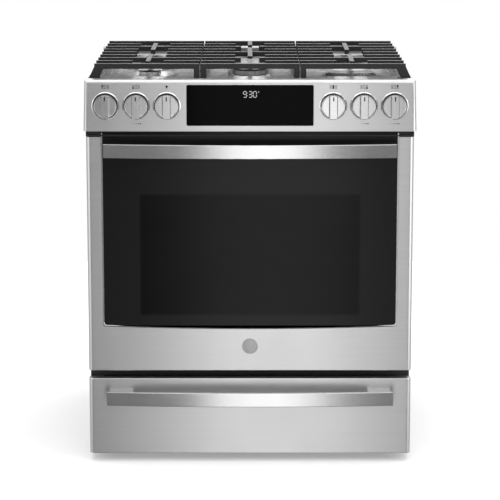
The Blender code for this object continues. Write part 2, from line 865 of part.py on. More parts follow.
def make_door_skin(pivot):
    """The steel shell, open to the rear, with the glass let into its front."""
    back = DOOR_FACE + DOOR_SKIN_DEPTH
    skin = block("door_skin", (-HALF, DOOR_FACE, DOOR_BOTTOM), (HALF, back, DOOR_TOP))
    round_edges(skin, EDGE_RADIUS, front_upright)
    side_wall = 3 * SHEET
    wall = 1.5 * SHEET
    hollow = block(
        "door_hollow",
        (-HALF + side_wall, DOOR_FACE + wall, DOOR_BOTTOM + wall),
        (HALF - side_wall, back + wall, DOOR_TOP - wall),
        tool=True,
    )
    top = DOOR_TOP + wall
    outline = glass_outline(0)
    half = outline[-1][0]
    recess = plate(
        "glass_recess",
        outline + [(half, top), (-half, top)],
        "XZ",
        DOOR_FACE - wall,
        DOOR_FACE + GLASS_THICKNESS + GAP,
        tool=True,
    )
    hang(finish(cut(skin, hollow, recess), STEEL), pivot)


def make_door_glass(pivot):
    """The outer glass, flush with the skin."""
    outline = glass_outline(GAP)
    half = outline[-1][0]
    outline += [(half, DOOR_TOP), (-half, DOOR_TOP)]
    back = DOOR_FACE + GLASS_THICKNESS
    hang(finish(plate("door_glass", outline, "XZ", DOOR_FACE, back), BLACK_GLASS), pivot)


def window_rectangle(inset):
    """The window through the door's liner, as two corners."""
    half = HALF - WINDOW_SIDE_MARGIN - inset
    low = DOOR_BOTTOM + WINDOW_BOTTOM_MARGIN + inset
    return (-half, low), (half, DOOR_TOP - WINDOW_TOP_MARGIN - inset)


def make_door_liner(pivot):
    """The inner door panel round the window, notched at its foot for the hinges, and its inner pane."""
    front = DOOR_FACE + DOOR_SKIN_DEPTH + GAP
    back = DOOR_FACE + DOOR_THICKNESS
    half = HALF - DOOR_LINER_SIDE_MARGIN
    notch_low = HINGE_X - HINGE_ARM_THICKNESS / 2 - HINGE_EAR_THICKNESS - 2 * MOVING_GAP
    notch_high = HINGE_X + HINGE_ARM_THICKNESS / 2 + HINGE_EAR_THICKNESS + 2 * MOVING_GAP
    low, notch_top = DOOR_BOTTOM + DOOR_LINER_RISE, HINGE_Z + HINGE_NOTCH_RISE
    top = DOOR_TOP - DOOR_LINER_DROP
    outline = rectangle((-half, low), (half, top))
    window = rectangle(*window_rectangle(0), radius=WINDOW_CORNER)
    liner = plate("door_liner", outline, "XZ", front, back, [window])
    notches = [
        mirrored_block(
            f"hinge_notch_{sign}",
            sign,
            (notch_low, front - SHEET, low - SHEET),
            (notch_high, back + SHEET, notch_top),
            tool=True,
        )
        for sign in (-1, 1)
    ]
    hollow = plate(
        "door_liner_hollow",
        rectangle(
            (-half + LINER_SHEET, notch_top + LINER_SHEET),
            (half - LINER_SHEET, top - DOOR_LINER_RIM),
        ),
        "XZ",
        front - LINER_SHEET,
        back - LINER_SHEET,
        [rectangle(*window_rectangle(-LINER_SHEET), radius=WINDOW_CORNER)],
        tool=True,
    )
    hang(finish(cut(liner, hollow, *notches), ENAMEL), pivot)
    middle = (front + back) / 2
    pane = rectangle(*window_rectangle(GAP), radius=WINDOW_CORNER)
    depth = GLASS_THICKNESS / 2
    glass = plate("door_window", pane, "XZ", middle - depth, middle + depth)
    hang(finish(glass, BLACK_GLASS), pivot)


def make_door_badge(pivot):
    """A plain round badge under the glass."""
    middle = DOOR_BOTTOM + BADGE_RISE
    outline = circle((0, middle), BADGE_RADIUS)
    badge = plate("door_badge", outline, "XZ", DOOR_FACE - BADGE_THICKNESS - GAP, DOOR_FACE - GAP)
    hang(finish(badge, CHROME), pivot)


def make_hinge_arm(side, sign, pivot):
    """A hinge arm: it turns on the frame's pin and runs up inside the door."""
    rear = HINGE_Y - HINGE_ARM_OFFSET
    front = rear - HINGE_ARM_WIDTH
    outline = arc((HINGE_Y, HINGE_Z), HINGE_EYE_RADIUS, 180, 360, 6)
    outline += [
        (HINGE_Y + HINGE_EYE_RADIUS, HINGE_Z + HINGE_EYE_DEPTH),
        (rear, HINGE_Z + HINGE_ARM_SHOULDER),
        (rear, HINGE_Z + HINGE_ARM_REACH),
        (front, HINGE_Z + HINGE_ARM_REACH),
        (front, HINGE_Z + HINGE_ARM_SHOULDER - HINGE_EYE_DEPTH),
    ]
    bore = circle((HINGE_Y, HINGE_Z), HINGE_PIN_RADIUS + GAP, 12)
    middle, half = sign * HINGE_X, HINGE_ARM_THICKNESS / 2
    arm = plate(f"hinge_arm_{side}", outline, "YZ", middle - half, middle + half, [bore])
    hang(finish(arm, DARK_STEEL), pivot)


def bow_reach(x, length, reach, bow):
    """How far a bowed handle's front stands off the face at a place along it."""
    return reach - bow * (2 * x / length) ** 2


def make_handle(name, length, reach, bow, heights, pivot):
    """A ribbon handle bowed outwards, on a bracket at each end."""
    low, high = heights
    steps = 16
    places = [length * (step / steps - 0.5) for step in range(steps + 1)]
    front = [(x, DOOR_FACE - bow_reach(x, length, reach, bow)) for x in places]
    back = [(x, y + HANDLE_THICKNESS) for x, y in reversed(front)]
    bar = plate(name, front + back, "XY", low, high)
    brackets = []
    for sign in (-1, 1):
        outer = length / 2 - HANDLE_BRACKET_INSET
        brackets.append(
            mirrored_block(
                f"{name}_bracket_{sign}",
                sign,
                (
                    outer - HANDLE_BRACKET_LENGTH,
                    DOOR_FACE - bow_reach(outer, length, reach, bow) + HANDLE_THICKNESS / 2,
                    low + HANDLE_BRACKET_INSET,
                ),
                (outer, DOOR_FACE - GAP, high - HANDLE_BRACKET_INSET),
                tool=True,
            )
        )
    hang(finish(join(bar, *brackets), STEEL), pivot)


# ---- storage drawer ----


def make_drawer(pivot):
    """The storage drawer: front, box and handle."""
    back = DOOR_FACE + DRAWER_FRONT_DEPTH
    front = block("drawer_front", (-HALF, DOOR_FACE, TOE_HEIGHT), (HALF, back, DRAWER_TOP))
    round_edges(front, EDGE_RADIUS, front_upright)
    wall = 1.5 * SHEET
    hollow = block(
        "drawer_front_hollow",
        (-HALF + 3 * SHEET, DOOR_FACE + wall, TOE_HEIGHT + wall),
        (HALF - 3 * SHEET, back + wall, DRAWER_TOP - wall),
        tool=True,
    )
    hang(finish(cut(front, hollow), STEEL), pivot)

    box_top = DRAWER_BOX_BOTTOM + DRAWER_BOX_HEIGHT
    box_back = REAR - DRAWER_REAR_MARGIN
    box = block(
        "drawer_box",
        (-DRAWER_BOX_HALF, back + GAP, DRAWER_BOX_BOTTOM),
        (DRAWER_BOX_HALF, box_back, box_top),
    )
    sheet = DRAWER_BOX_SHEET
    inside = block(
        "drawer_box_hollow",
        (-DRAWER_BOX_HALF + sheet, back + GAP + sheet, DRAWER_BOX_BOTTOM + sheet),
        (DRAWER_BOX_HALF - sheet, box_back - sheet, box_top + sheet),
        tool=True,
    )
    hang(finish(cut(box, inside), GALVANISED), pivot)
    handle_top = DRAWER_TOP - DRAWER_HANDLE_DROP
    make_handle(
        "drawer_handle",
        DRAWER_HANDLE_LENGTH,
        DRAWER_HANDLE_REACH,
        DRAWER_HANDLE_BOW,
        (handle_top - DRAWER_HANDLE_TALL, handle_top),
        pivot,
    )


def make_drawer_rail(side, sign):
    """The fixed rail beside the drawer box, a channel open towards it."""
    inner = DRAWER_BOX_HALF + MOVING_GAP
    low = DRAWER_BOX_BOTTOM + RAIL_RISE
    front, back = FRAME_FACE + FRAME_SHEET + GAP, REAR - DRAWER_REAR_MARGIN
    rail = mirrored_block(
        f"drawer_rail_{side}", sign, (inner, front, low), (INSIDE, back, low + RAIL_TALL)
    )
    groove = mirrored_block(
        f"rail_groove_{side}",
        sign,
        (inner - SHEET, front - SHEET, low + SHEET),
        (INSIDE - SHEET, back + SHEET, low + RAIL_TALL - SHEET),
        tool=True,
    )
    finish(cut(rail, groove), GALVANISED)


# ---- controls ----


def knob_places():
    """Each knob's name and its place across: three on the left, then three on the right."""
    outer = HALF - KNOB_EDGE
    names = (
        ("rear_left", "front_left", "oven_light"),
        ("rear_right", "front_right", "centre"),
    )
    return [
        (name, sign * (outer - KNOB_PITCH * index))
        for sign, group in zip((-1, 1), names)
        for index, name in enumerate(group)
    ]


def display_half():
    """Half the display's width: it fills the fascia between the inner bezels."""
    innermost = HALF - KNOB_EDGE - 2 * KNOB_PITCH
    return innermost - BEZEL_RADIUS - DISPLAY_TO_BEZEL


def make_fascia():
    """The control fascia: a shell with rounded edges, a bezel round each knob and the display's window."""
    top_half = HALF + FASCIA_TOP_EXTRA
    fascia = block(
        "control_fascia",
        (-top_half, FASCIA_FACE, FASCIA_BOTTOM),
        (top_half, FASCIA_BACK, FASCIA_TOP),
    )
    for vert in fascia.data.vertices:
        if vert.co.z < 0:
            vert.co.x += math.copysign(FASCIA_FLARE, vert.co.x)

    def front_sides_and_top(middle, direction):
        return front_upright(middle, direction) or (
            abs(direction.x) > 0.9 and middle.y < 0 and middle.z > 0
        )

    round_edges(fascia, 0.9 * EDGE_RADIUS, front_sides_and_top)
    wall = 1.5 * SHEET
    hollow = block(
        "fascia_hollow",
        (-top_half + 3 * SHEET, FASCIA_FACE + wall, FASCIA_BOTTOM + wall),
        (top_half - 3 * SHEET, FASCIA_BACK + wall, FASCIA_TOP - 3 * SHEET),
        tool=True,
    )
    window = plate(
        "display_window",
        rectangle(*display_corners(0), radius=DISPLAY_CORNER),
        "XZ",
        FASCIA_FACE - wall,
        FASCIA_FACE + 2 * wall,
        tool=True,
    )
    holes = [
        rod(
            f"stem_hole_{name}",
            (x, FASCIA_FACE - wall, KNOB_Z),
            (x, FASCIA_FACE + 2 * wall, KNOB_Z),
            STEM_HOLE_RADIUS,
            sides=12,
            tool=True,
        )
        for name, x in knob_places()
    ]
    cut(fascia, hollow, window, *holes)
    bezels = [
        plate(
            f"bezel_{name}",
            circle((x, KNOB_Z), BEZEL_RADIUS),
            "XZ",
            FASCIA_FACE - BEZEL_PROUD,
            FASCIA_FACE + SHEET / 2,
            [circle((x, KNOB_Z), BEZEL_RADIUS - BEZEL_WIDTH)],
            tool=True,
        )
        for name, x in knob_places()
    ]
    finish(join(fascia, *bezels), STEEL)


def display_corners(inset):
    """The display's rectangle on the fascia."""
    half = display_half() - inset
    low = FASCIA_BOTTOM + DISPLAY_RISE + inset
    return (-half, low), (half, FASCIA_BOTTOM + DISPLAY_RISE + DISPLAY_HEIGHT - inset)


def make_display():
    """The display glass, flush in its window."""
    outline = rectangle(*display_corners(GAP), radius=DISPLAY_CORNER)
    glass = plate("display_glass", outline, "XZ", FASCIA_FACE, FASCIA_FACE + DISPLAY_THICKNESS)
    finish(glass, BLACK_GLASS)


def knob_back():
    """Where a knob's back face stands, clear of the fascia at full push."""
    return FASCIA_FACE - KNOB_PUSH - 2 * GAP


def valve_front():
    """Where the valves' front faces stand behind the fascia."""
    return FASCIA_FACE + VALVE_SET_BACK


def make_knob(name, x, pivot):
    """A knob: round skirt, upright grip bar and the stem behind it."""
    back = knob_back()
    knob = rod(f"knob_{name}", (x, back, KNOB_Z), (x, back - KNOB_SKIRT_DEPTH, KNOB_Z), KNOB_RADIUS)
    half = KNOB_GRIP_WIDTH / 2
    grip = block(
        f"grip_{name}",
        (x - half, back - KNOB_DEPTH, KNOB_Z - KNOB_RADIUS + SHEET),
        (x + half, back - KNOB_SKIRT_DEPTH / 2, KNOB_Z + KNOB_RADIUS - SHEET),
        tool=True,
    )
    round_edges(grip, KNOB_GRIP_ROUND, front_upright, segments=1)
    stem_end = valve_front() - KNOB_PUSH - 2 * GAP
    stem = rod(
        f"stem_{name}",
        (x, back - KNOB_SKIRT_DEPTH / 2, KNOB_Z),
        (x, stem_end, KNOB_Z),
        STEM_RADIUS,
        sides=12,
        tool=True,
    )
    hang(finish(join(knob, grip, stem), STEEL), pivot)


def make_burner_controls():
    """A knob at each place. A burner's knob turns on a sleeve that a spring pushes forward."""
    for name, x in knob_places():
        front = valve_front()
        if name == "oven_light":
            make_knob(name, x, pivot_at(f"turn_{name}", (x, knob_back(), KNOB_Z)))
            continue
        push = pivot_at(f"push_{name}", (x, front, KNOB_Z))
        start, end = front - SLEEVE_LENGTH + SHEET, front + SHEET
        sleeve = plate(
            f"valve_sleeve_{name}",
            circle((x, KNOB_Z), SLEEVE_RADIUS, 12),
            "XZ",
            start,
            end,
            [circle((x, KNOB_Z), STEM_RADIUS + GAP, 12)],
        )
        hang(finish(sleeve, BRASS), push)
        make_knob(name, x, pivot_at(f"turn_{name}", (x, knob_back(), KNOB_Z)))


def make_manifold():
    """The gas manifold: supply pipe, valves, and a tube from each valve to its burner."""
    pipe_y = valve_front() + VALVE_LENGTH - MANIFOLD_RADIUS
    end = INSIDE - MANIFOLD_RADIUS
    pipe = rod("gas_manifold", (-end, pipe_y, KNOB_Z), (end, pipe_y, KNOB_Z), MANIFOLD_RADIUS, sides=16)
    pieces = []
    bores = []
    half = VALVE_SIZE / 2
    for name, x in knob_places():
        if name == "oven_light":
            continue
        front = valve_front()
        pieces.append(
            block(
                f"valve_{name}",
                (x - half, front, KNOB_Z - half),
                (x + half, front + VALVE_LENGTH - MANIFOLD_RADIUS / 2, KNOB_Z + half),
                tool=True,
            )
        )
        bores.append(
            rod(
                f"valve_bore_{name}",
                (x, front - SHEET, KNOB_Z),
                (x, front + SHEET + KNOB_PUSH + SHEET, KNOB_Z),
                SLEEVE_RADIUS + GAP,
                sides=12,
                tool=True,
            )
        )
        burner_x, burner_y = burner_centre(name)
        pieces.append(
            rod(
                f"gas_tube_{name}",
                (x, pipe_y, KNOB_Z),
                (burner_x, burner_y, tube_height() - GAS_TUBE_RADIUS - GAP),
                GAS_TUBE_RADIUS,
                sides=8,
                tool=True,
            )
        )
    inlet_x, inlet_z = gas_inlet_place()
    corner_y = BACK_SHEET_FACE - 3 * SUPPLY_RADIUS
    supply = [
        (inlet_x, pipe_y, KNOB_Z),
        (inlet_x, corner_y, KNOB_Z),
        (inlet_x, corner_y, inlet_z),
        (inlet_x, BACK_SHEET_FACE - SUPPLY_RADIUS, inlet_z),
    ]
    pieces.append(tube("gas_supply", supply, SUPPLY_RADIUS, tool=True))
    join(pipe, *pieces)
    finish(cut(pipe, *bores), ALUMINIUM)


# ---- cooktop ----


def row_y(row):
    """Where a grate's row of bars runs, counted from the front."""
    return GRATE_FRONT + BAR_WIDTH / 2 + ROW_PITCH * row


def burner_centre(name):
    """A burner's centre."""
    across = {"left": -SIDE_GRATE_X, "right": SIDE_GRATE_X}
    rows = {"front": FRONT_BURNER_ROW, "rear": REAR_BURNER_ROW}
    if name == "centre":
        return 0.0, row_y(MIDDLE_ROW)
    row, side = name.split("_")
    return across[side], row_y(rows[row])


# Name, cap radius, head radius and the radius of the dish under the head
BURNERS = (
    ("rear_left", 0.0265, 0.0240, 0.034),
    ("front_left", 0.0255, 0.0210, 0.063),
    ("front_right", 0.0550, 0.0450, 0.060),
    ("rear_right", 0.0375, 0.0330, 0.043),
)


def tube_height():
    """The underside of the burners' stems."""
    return PLATEAU - BURNER_STEM_LENGTH


def make_cooktop_pan():
    """The recessed cooktop: ledges for the grates' feet, a sunk floor and a raised round at each burner."""
    low = (-PAN_HALF, PAN_FRONT, LEDGE - PAN_SKIRT)
    pan = block("cooktop_pan", low, (PAN_HALF, PAN_REAR, LEDGE))
    round_edges(pan, SHOULDER_RADIUS, lambda middle, along: abs(along.y) > 0.9 and middle.z > 0)
    inner = PAN_HALF - RIM_WIDTH
    recess = block(
        "pan_recess",
        (-inner, PAN_FRONT + FRONT_LEDGE, PAN_FLOOR),
        (inner, PAN_REAR - REAR_LEDGE, LEDGE + SHEET),
        tool=True,
    )
    for vert in recess.data.vertices:
        if vert.co.z < 0:
            vert.co.x -= math.copysign(RECESS_SLOPE, vert.co.x)
            vert.co.y -= math.copysign(RECESS_SLOPE, vert.co.y)
    round_edges(recess, RECESS_CORNER, lambda middle, along: abs(along.z) > 0.4)
    underside = block(
        "pan_underside",
        (-inner + RECESS_SLOPE, PAN_FRONT + FRONT_LEDGE + RECESS_SLOPE, LEDGE - 2 * PAN_SKIRT),
        (inner - RECESS_SLOPE, PAN_REAR - REAR_LEDGE - RECESS_SLOPE, PAN_FLOOR - PAN_SHEET),
        tool=True,
    )
    wall = 3 * SHEET
    rim_hollow = plate(
        "pan_rim_hollow",
        rectangle((-PAN_HALF + wall, PAN_FRONT + wall), (PAN_HALF - wall, PAN_REAR - wall)),
        "XY",
        LEDGE - 2 * PAN_SKIRT,
        LEDGE - wall,
        [
            rectangle(
                (-inner - PAN_SHEET, PAN_FRONT + FRONT_LEDGE - PAN_SHEET),
                (inner + PAN_SHEET, PAN_REAR - REAR_LEDGE + PAN_SHEET),
            )
        ],
        tool=True,
    )
    cut(pan, recess, underside, rim_hollow)
    sunk = PAN_FLOOR - PAN_SHEET / 2
    rounds = [
        rod(
            f"plateau_{name}",
            (*burner_centre(name), sunk),
            (*burner_centre(name), PLATEAU),
            PLATEAU_BASE_RADIUS,
            tip=PLATEAU_TOP_RADIUS,
            tool=True,
        )
        for name, *_ in BURNERS
    ]
    oval = stadium(OVAL_PLATEAU_SPREAD)
    rounds.append(plate("plateau_centre", oval, "XY", sunk, PLATEAU, tool=True))
    join(pan, *rounds)
    bore = BURNER_STEM_RADIUS + GAP
    names = [name for name, *_ in BURNERS] + ["centre"]
    holes = [
        rod(
            f"burner_hole_{name}",
            (*burner_centre(name), LEDGE - PAN_SKIRT - SHEET),
            (*burner_centre(name), LEDGE),
            bore,
            tool=True,
        )
        for name in names
    ]
    finish(cut(pan, *holes), STEEL)


def stadium(spread):
    """The oval burner's outline, spread outwards."""
    x, y = burner_centre("centre")
    radius = OVAL_WIDTH / 2 + spread
    reach = (OVAL_LENGTH - OVAL_WIDTH) / 2
    return arc((x, y + reach), radius, 0, 180, 8) + arc((x, y - reach), radius, 180, 360, 8)


def make_burner(name, cap_radius, head_radius, dish_radius):
    """A round burner: a base whose stem passes the pan, and the loose cap on it."""
    x, y = burner_centre(name)
    foot = PLATEAU + GAP
    head_top = foot + BURNER_HEAD_HEIGHT
    profile = [
        (0, head_top),
        (head_radius - HEAD_CHAMFER, head_top),
        (head_radius, head_top - HEAD_CHAMFER),
        (head_radius, foot + DISH_CENTRE_RISE),
        (dish_radius, foot + DISH_RIM),
        (dish_radius, foot),
        (BURNER_STEM_RADIUS, foot),
        (BURNER_STEM_RADIUS, tube_height()),
        (0, tube_height()),
    ]
    finish(turned(f"burner_base_{name}", profile, (x, y, 0)), ALUMINIUM)
    low, high = head_top + GAP, head_top + GAP + CAP_THICKNESS
    cap = [
        (0, high),
        (cap_radius - CAP_CHAMFER_WIDTH, high),
        (cap_radius, high - CAP_CHAMFER_DEPTH),
        (cap_radius, low),
        (0, low),
    ]
    finish(turned(f"burner_cap_{name}", cap, (x, y, 0)), CAST_IRON)


def make_oval_burner():
    """The long middle burner and its cap."""
    x, y = burner_centre("centre")
    foot = PLATEAU + GAP
    head_top = foot + BURNER_HEAD_HEIGHT
    base = plate("burner_base_centre", stadium(-CAP_OVERHANG), "XY", foot, head_top)
    stem = rod(
        "stem_oval",
        (x, y, foot + DISH_RIM),
        (x, y, tube_height()),
        BURNER_STEM_RADIUS,
        tool=True,
    )
    finish(join(base, stem), ALUMINIUM)
    low = head_top + GAP
    finish(plate("burner_cap_centre", stadium(0), "XY", low, low + CAP_THICKNESS), CAST_IRON)


def make_rear_trim():
    """The raised trim behind the grates, slotted to let the oven's hot air out."""
    front, back = PAN_REAR + GAP, BACK_SHEET_FACE - GAP
    low, high = LEDGE - PAN_SKIRT, LEDGE + REAR_TRIM_RISE
    trim = block("rear_vent_trim", (-PAN_HALF, front, low), (PAN_HALF, back, high))
    round_edges(trim, TRIM_EDGE_RADIUS, lambda middle, along: abs(along.x) > 0.9 and middle.z > 0)
    wall = 2 * SHEET
    hollow = block(
        "trim_hollow",
        (-PAN_HALF + wall, front + wall, low - wall),
        (PAN_HALF - wall, back - wall, high - wall),
        tool=True,
    )
    middle = (front + back) / 2
    half, wide = VENT_SLOT_LENGTH / 2, VENT_SLOT_WIDTH / 2
    slots = [
        block(
            f"trim_slot_{index}",
            (VENT_SLOT_PITCH * index - half, middle - wide, high - 2 * wall),
            (VENT_SLOT_PITCH * index + half, middle + wide, high + wall),
            tool=True,
        )
        for index in range(-VENT_SLOTS_A_SIDE, VENT_SLOTS_A_SIDE + 1)
    ]
    finish(cut(trim, hollow, *slots), STEEL)


# ---- grates ----


def bar_across(name, row, start, end):
    """One left-to-right bar of a grate, between two places across."""
    y = row_y(row)
    half = BAR_WIDTH / 2
    return block(name, (start, y - half, TOP - BAR_TALL), (end, y + half, TOP), tool=True)


def bar_along(name, x, start, end):
    """One front-to-back bar of a grate, between two places along."""
    half = BAR_WIDTH / 2
    low = TOP - BAR_TALL
    return block(name, (x - half, start, low), (x + half, end, TOP), tool=True)


def leg(name, x, y, width, splay):
    """A grate's leg, which stands on the ledge. An outer leg splays outwards."""
    foot = LEDGE + GAP
    half, depth = width / 2, BAR_WIDTH / 2
    made = block(name, (x - half, y - depth, foot), (x + half, y + depth, TOP - BAR_TALL / 2), tool=True)
    for vert in made.data.vertices:
        if vert.co.z < 0:
            vert.co.x += splay
    return made


def grate_frame(name, left, right):
    """A grate's whole front and rear bars, and the lower rail that all its bars cross."""
    low, high = TOP - BAR_TALL, TOP - RAIL_DROP
    front, back = GRATE_FRONT + GAP, GRATE_BACK - GAP
    start, end = left + GAP, right - GAP
    inner = rectangle((start + BAR_WIDTH, front + BAR_WIDTH), (end - BAR_WIDTH, back - BAR_WIDTH))
    rail = plate(name, rectangle((start, front), (end, back)), "XY", low + GAP, high, [inner])
    bars = [bar_across(f"{name}_edge_{row}", row, left, right) for row in (0, GRATE_ROWS - 1)]
    return rail, bars


def grate_legs(name, left, right, splays):
    """A leg at each corner. The splays are how far the left and right feet spread."""
    legs = []
    for place, row in (("front", 0), ("rear", GRATE_ROWS - 1)):
        for side, x, sign, splay in (("left", left, 1, splays[0]), ("right", right, -1, splays[1])):
            width = OUTER_LEG_WIDTH if splay else LEG_WIDTH
            legs.append(
                leg(f"{name}_leg_{place}_{side}", x + sign * width / 2, row_y(row), width, splay)
            )
    return legs


def make_side_grate(side, sign):
    """A side grate: two whole bars over the burners, fingers between, and a short bar along at each burner."""
    name = f"grate_{side}"
    left, right = sorted((sign * SIDE_GRATE_INNER, sign * GRATE_HALF))
    middle = (left + right) / 2
    rail, bars = grate_frame(name, left, right)
    for row in range(1, GRATE_ROWS - 1):
        if row in (FRONT_BURNER_ROW, REAR_BURNER_ROW):
            bars.append(bar_across(f"{name}_bar_{row}", row, left, right))
            continue
        bars.append(bar_across(f"{name}_finger_{row}_l", row, left, middle - SIDE_FINGER_GAP))
        bars.append(bar_across(f"{name}_finger_{row}_r", row, middle + SIDE_FINGER_GAP, right))
    for row in (FRONT_BURNER_ROW, REAR_BURNER_ROW):
        y = row_y(row)
        bars.append(bar_along(f"{name}_along_{row}", middle, y - CROSS_BAR_HALF, y + CROSS_BAR_HALF))
    splays = (-GRATE_SPLAY, 0) if sign < 0 else (0, GRATE_SPLAY)
    place_grate(join(rail, *bars, *grate_legs(name, left, right, splays)), middle)


def make_centre_grate():
    """The middle grate: one whole bar, fingers, and a bar along that breaks over the oval burner."""
    name = "grate_centre"
    half = CENTRE_GRATE_WIDTH / 2
    rail, bars = grate_frame(name, -half, half)
    half_bar = BAR_WIDTH / 2
    bars.append(bar_across(f"{name}_bar", MIDDLE_ROW, -half, half))
    for row in range(1, GRATE_ROWS - 1):
        if row == MIDDLE_ROW:
            continue
        short = row in (FRONT_BURNER_ROW, REAR_BURNER_ROW)
        gap = CENTRE_SHORT_GAP if short else CENTRE_FINGER_GAP
        bars.append(bar_across(f"{name}_finger_{row}_l", row, -half, -gap))
        bars.append(bar_across(f"{name}_finger_{row}_r", row, gap, half))
    front_break, rear_break = row_y(FRONT_BURNER_ROW), row_y(REAR_BURNER_ROW)
    stretches = (
        (GRATE_FRONT + half_bar, front_break - CENTRE_BAR_BREAK),
        (front_break + CENTRE_BAR_BREAK, rear_break - CENTRE_BAR_BREAK),
        (rear_break + CENTRE_BAR_BREAK, GRATE_BACK - half_bar),
    )
    for index, (start, end) in enumerate(stretches):
        bars.append(bar_along(f"{name}_along_{index}", 0.0, start, end))
    place_grate(join(rail, *bars, *grate_legs(name, -half, half, (0, 0))), 0.0)


def place_grate(grate, middle):
    """Hangs a grate on the empty that stands where it lifts."""
    pivot = pivot_at(f"{grate.name}_lift", (middle, (GRATE_FRONT + GRATE_BACK) / 2, LEDGE + GAP))
    hang(finish(grate, CAST_IRON), pivot)


# ---- the whole ----


def main():
    """Builds every piece, from the floor up and from the cabinet out."""
    make_base_pan()
    make_feet()
    both_sides(make_side_panel)
    make_back_panel()
    make_power_gland()
    make_front_frame()
    make_vent_strip()
    make_oven_liner()
    make_oven_seal()
    make_oven_burner("bake_burner", OVEN_BOTTOM + OVEN_BURNER_CLEARANCE)
    make_oven_burner("broil_burner", OVEN_TOP - OVEN_BURNER_CLEARANCE)
    make_oven_lamp()
    make_rack("rack_lower", 1)
    make_rack("rack_upper", 3)
    make_door(pivot_at("door_hinge", (0, HINGE_Y, HINGE_Z)))
    make_drawer(pivot_at("drawer_slide", (0, DOOR_FACE, TOE_HEIGHT)))
    both_sides(make_drawer_rail)
    make_fascia()
    make_display()
    make_burner_controls()
    make_manifold()
    make_cooktop_pan()
    for burner in BURNERS:
        make_burner(*burner)
    make_oval_burner()
    make_rear_trim()
    both_sides(make_side_grate)
    make_centre_grate()


main()
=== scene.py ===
"""Freestanding gas range: the finely finished model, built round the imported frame.

Every class below is one sub-assembly of the range. It holds its sizes, shapes its
pieces with Blender's own tools and dresses them in a finish.
"""

import json  # noqa: E402
import logging  # noqa: E402
import math  # noqa: E402
from collections.abc import Callable, Mapping, Sequence  # noqa: E402
from dataclasses import dataclass, field  # noqa: E402
from enum import Enum  # noqa: E402
from typing import Any, ClassVar, Union  # noqa: E402

import bpy  # noqa: E402
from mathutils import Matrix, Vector  # noqa: E402

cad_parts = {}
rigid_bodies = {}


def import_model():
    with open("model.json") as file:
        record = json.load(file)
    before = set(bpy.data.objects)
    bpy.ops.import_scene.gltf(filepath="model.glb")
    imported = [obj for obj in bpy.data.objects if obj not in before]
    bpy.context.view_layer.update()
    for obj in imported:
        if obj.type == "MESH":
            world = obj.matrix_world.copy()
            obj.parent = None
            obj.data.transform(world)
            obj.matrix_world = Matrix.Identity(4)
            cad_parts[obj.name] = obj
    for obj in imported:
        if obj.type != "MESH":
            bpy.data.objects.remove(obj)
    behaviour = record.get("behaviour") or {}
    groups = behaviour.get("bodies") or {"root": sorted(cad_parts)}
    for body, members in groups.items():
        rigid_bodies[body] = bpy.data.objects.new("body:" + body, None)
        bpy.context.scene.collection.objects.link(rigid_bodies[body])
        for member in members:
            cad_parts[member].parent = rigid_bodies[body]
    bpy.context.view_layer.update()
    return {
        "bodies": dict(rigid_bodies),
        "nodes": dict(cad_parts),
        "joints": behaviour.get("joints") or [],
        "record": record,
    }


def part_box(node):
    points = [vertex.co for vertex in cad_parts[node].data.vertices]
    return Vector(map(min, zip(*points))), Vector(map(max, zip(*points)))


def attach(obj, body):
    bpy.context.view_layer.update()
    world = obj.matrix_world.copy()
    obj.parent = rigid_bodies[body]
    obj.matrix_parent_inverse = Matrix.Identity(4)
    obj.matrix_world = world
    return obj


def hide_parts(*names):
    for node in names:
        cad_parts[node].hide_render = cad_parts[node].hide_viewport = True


LOG = logging.getLogger("gas_range")
SKIN = 0.0001  # thickness of printed ink, in metres

Point = Sequence[float]
Number = Union[float, "Wire"]
FaceTest = Callable[[Vector, Vector], bool]
EdgeTest = Callable[[Vector, Vector], bool]


class Axis(Enum):
    """A direction of the range, with the turn that lays a cylinder along it."""

    X = (0.0, math.pi / 2, 0.0)
    Y = (math.pi / 2, 0.0, 0.0)
    Z = (0.0, 0.0, 0.0)

    @property
    def number(self) -> int:
        """0 for X, 1 for Y and 2 for Z."""
        return list(Axis).index(self)


class Site(Enum):
    """A control position on the fascia, by the burner or lamp that it serves."""

    REAR_LEFT = "rear_left"
    FRONT_LEFT = "front_left"
    OVEN_LIGHT = "oven_light"
    CENTRE = "centre"
    FRONT_RIGHT = "front_right"
    REAR_RIGHT = "rear_right"


# ---------------------------------------------------------------- shader graphs


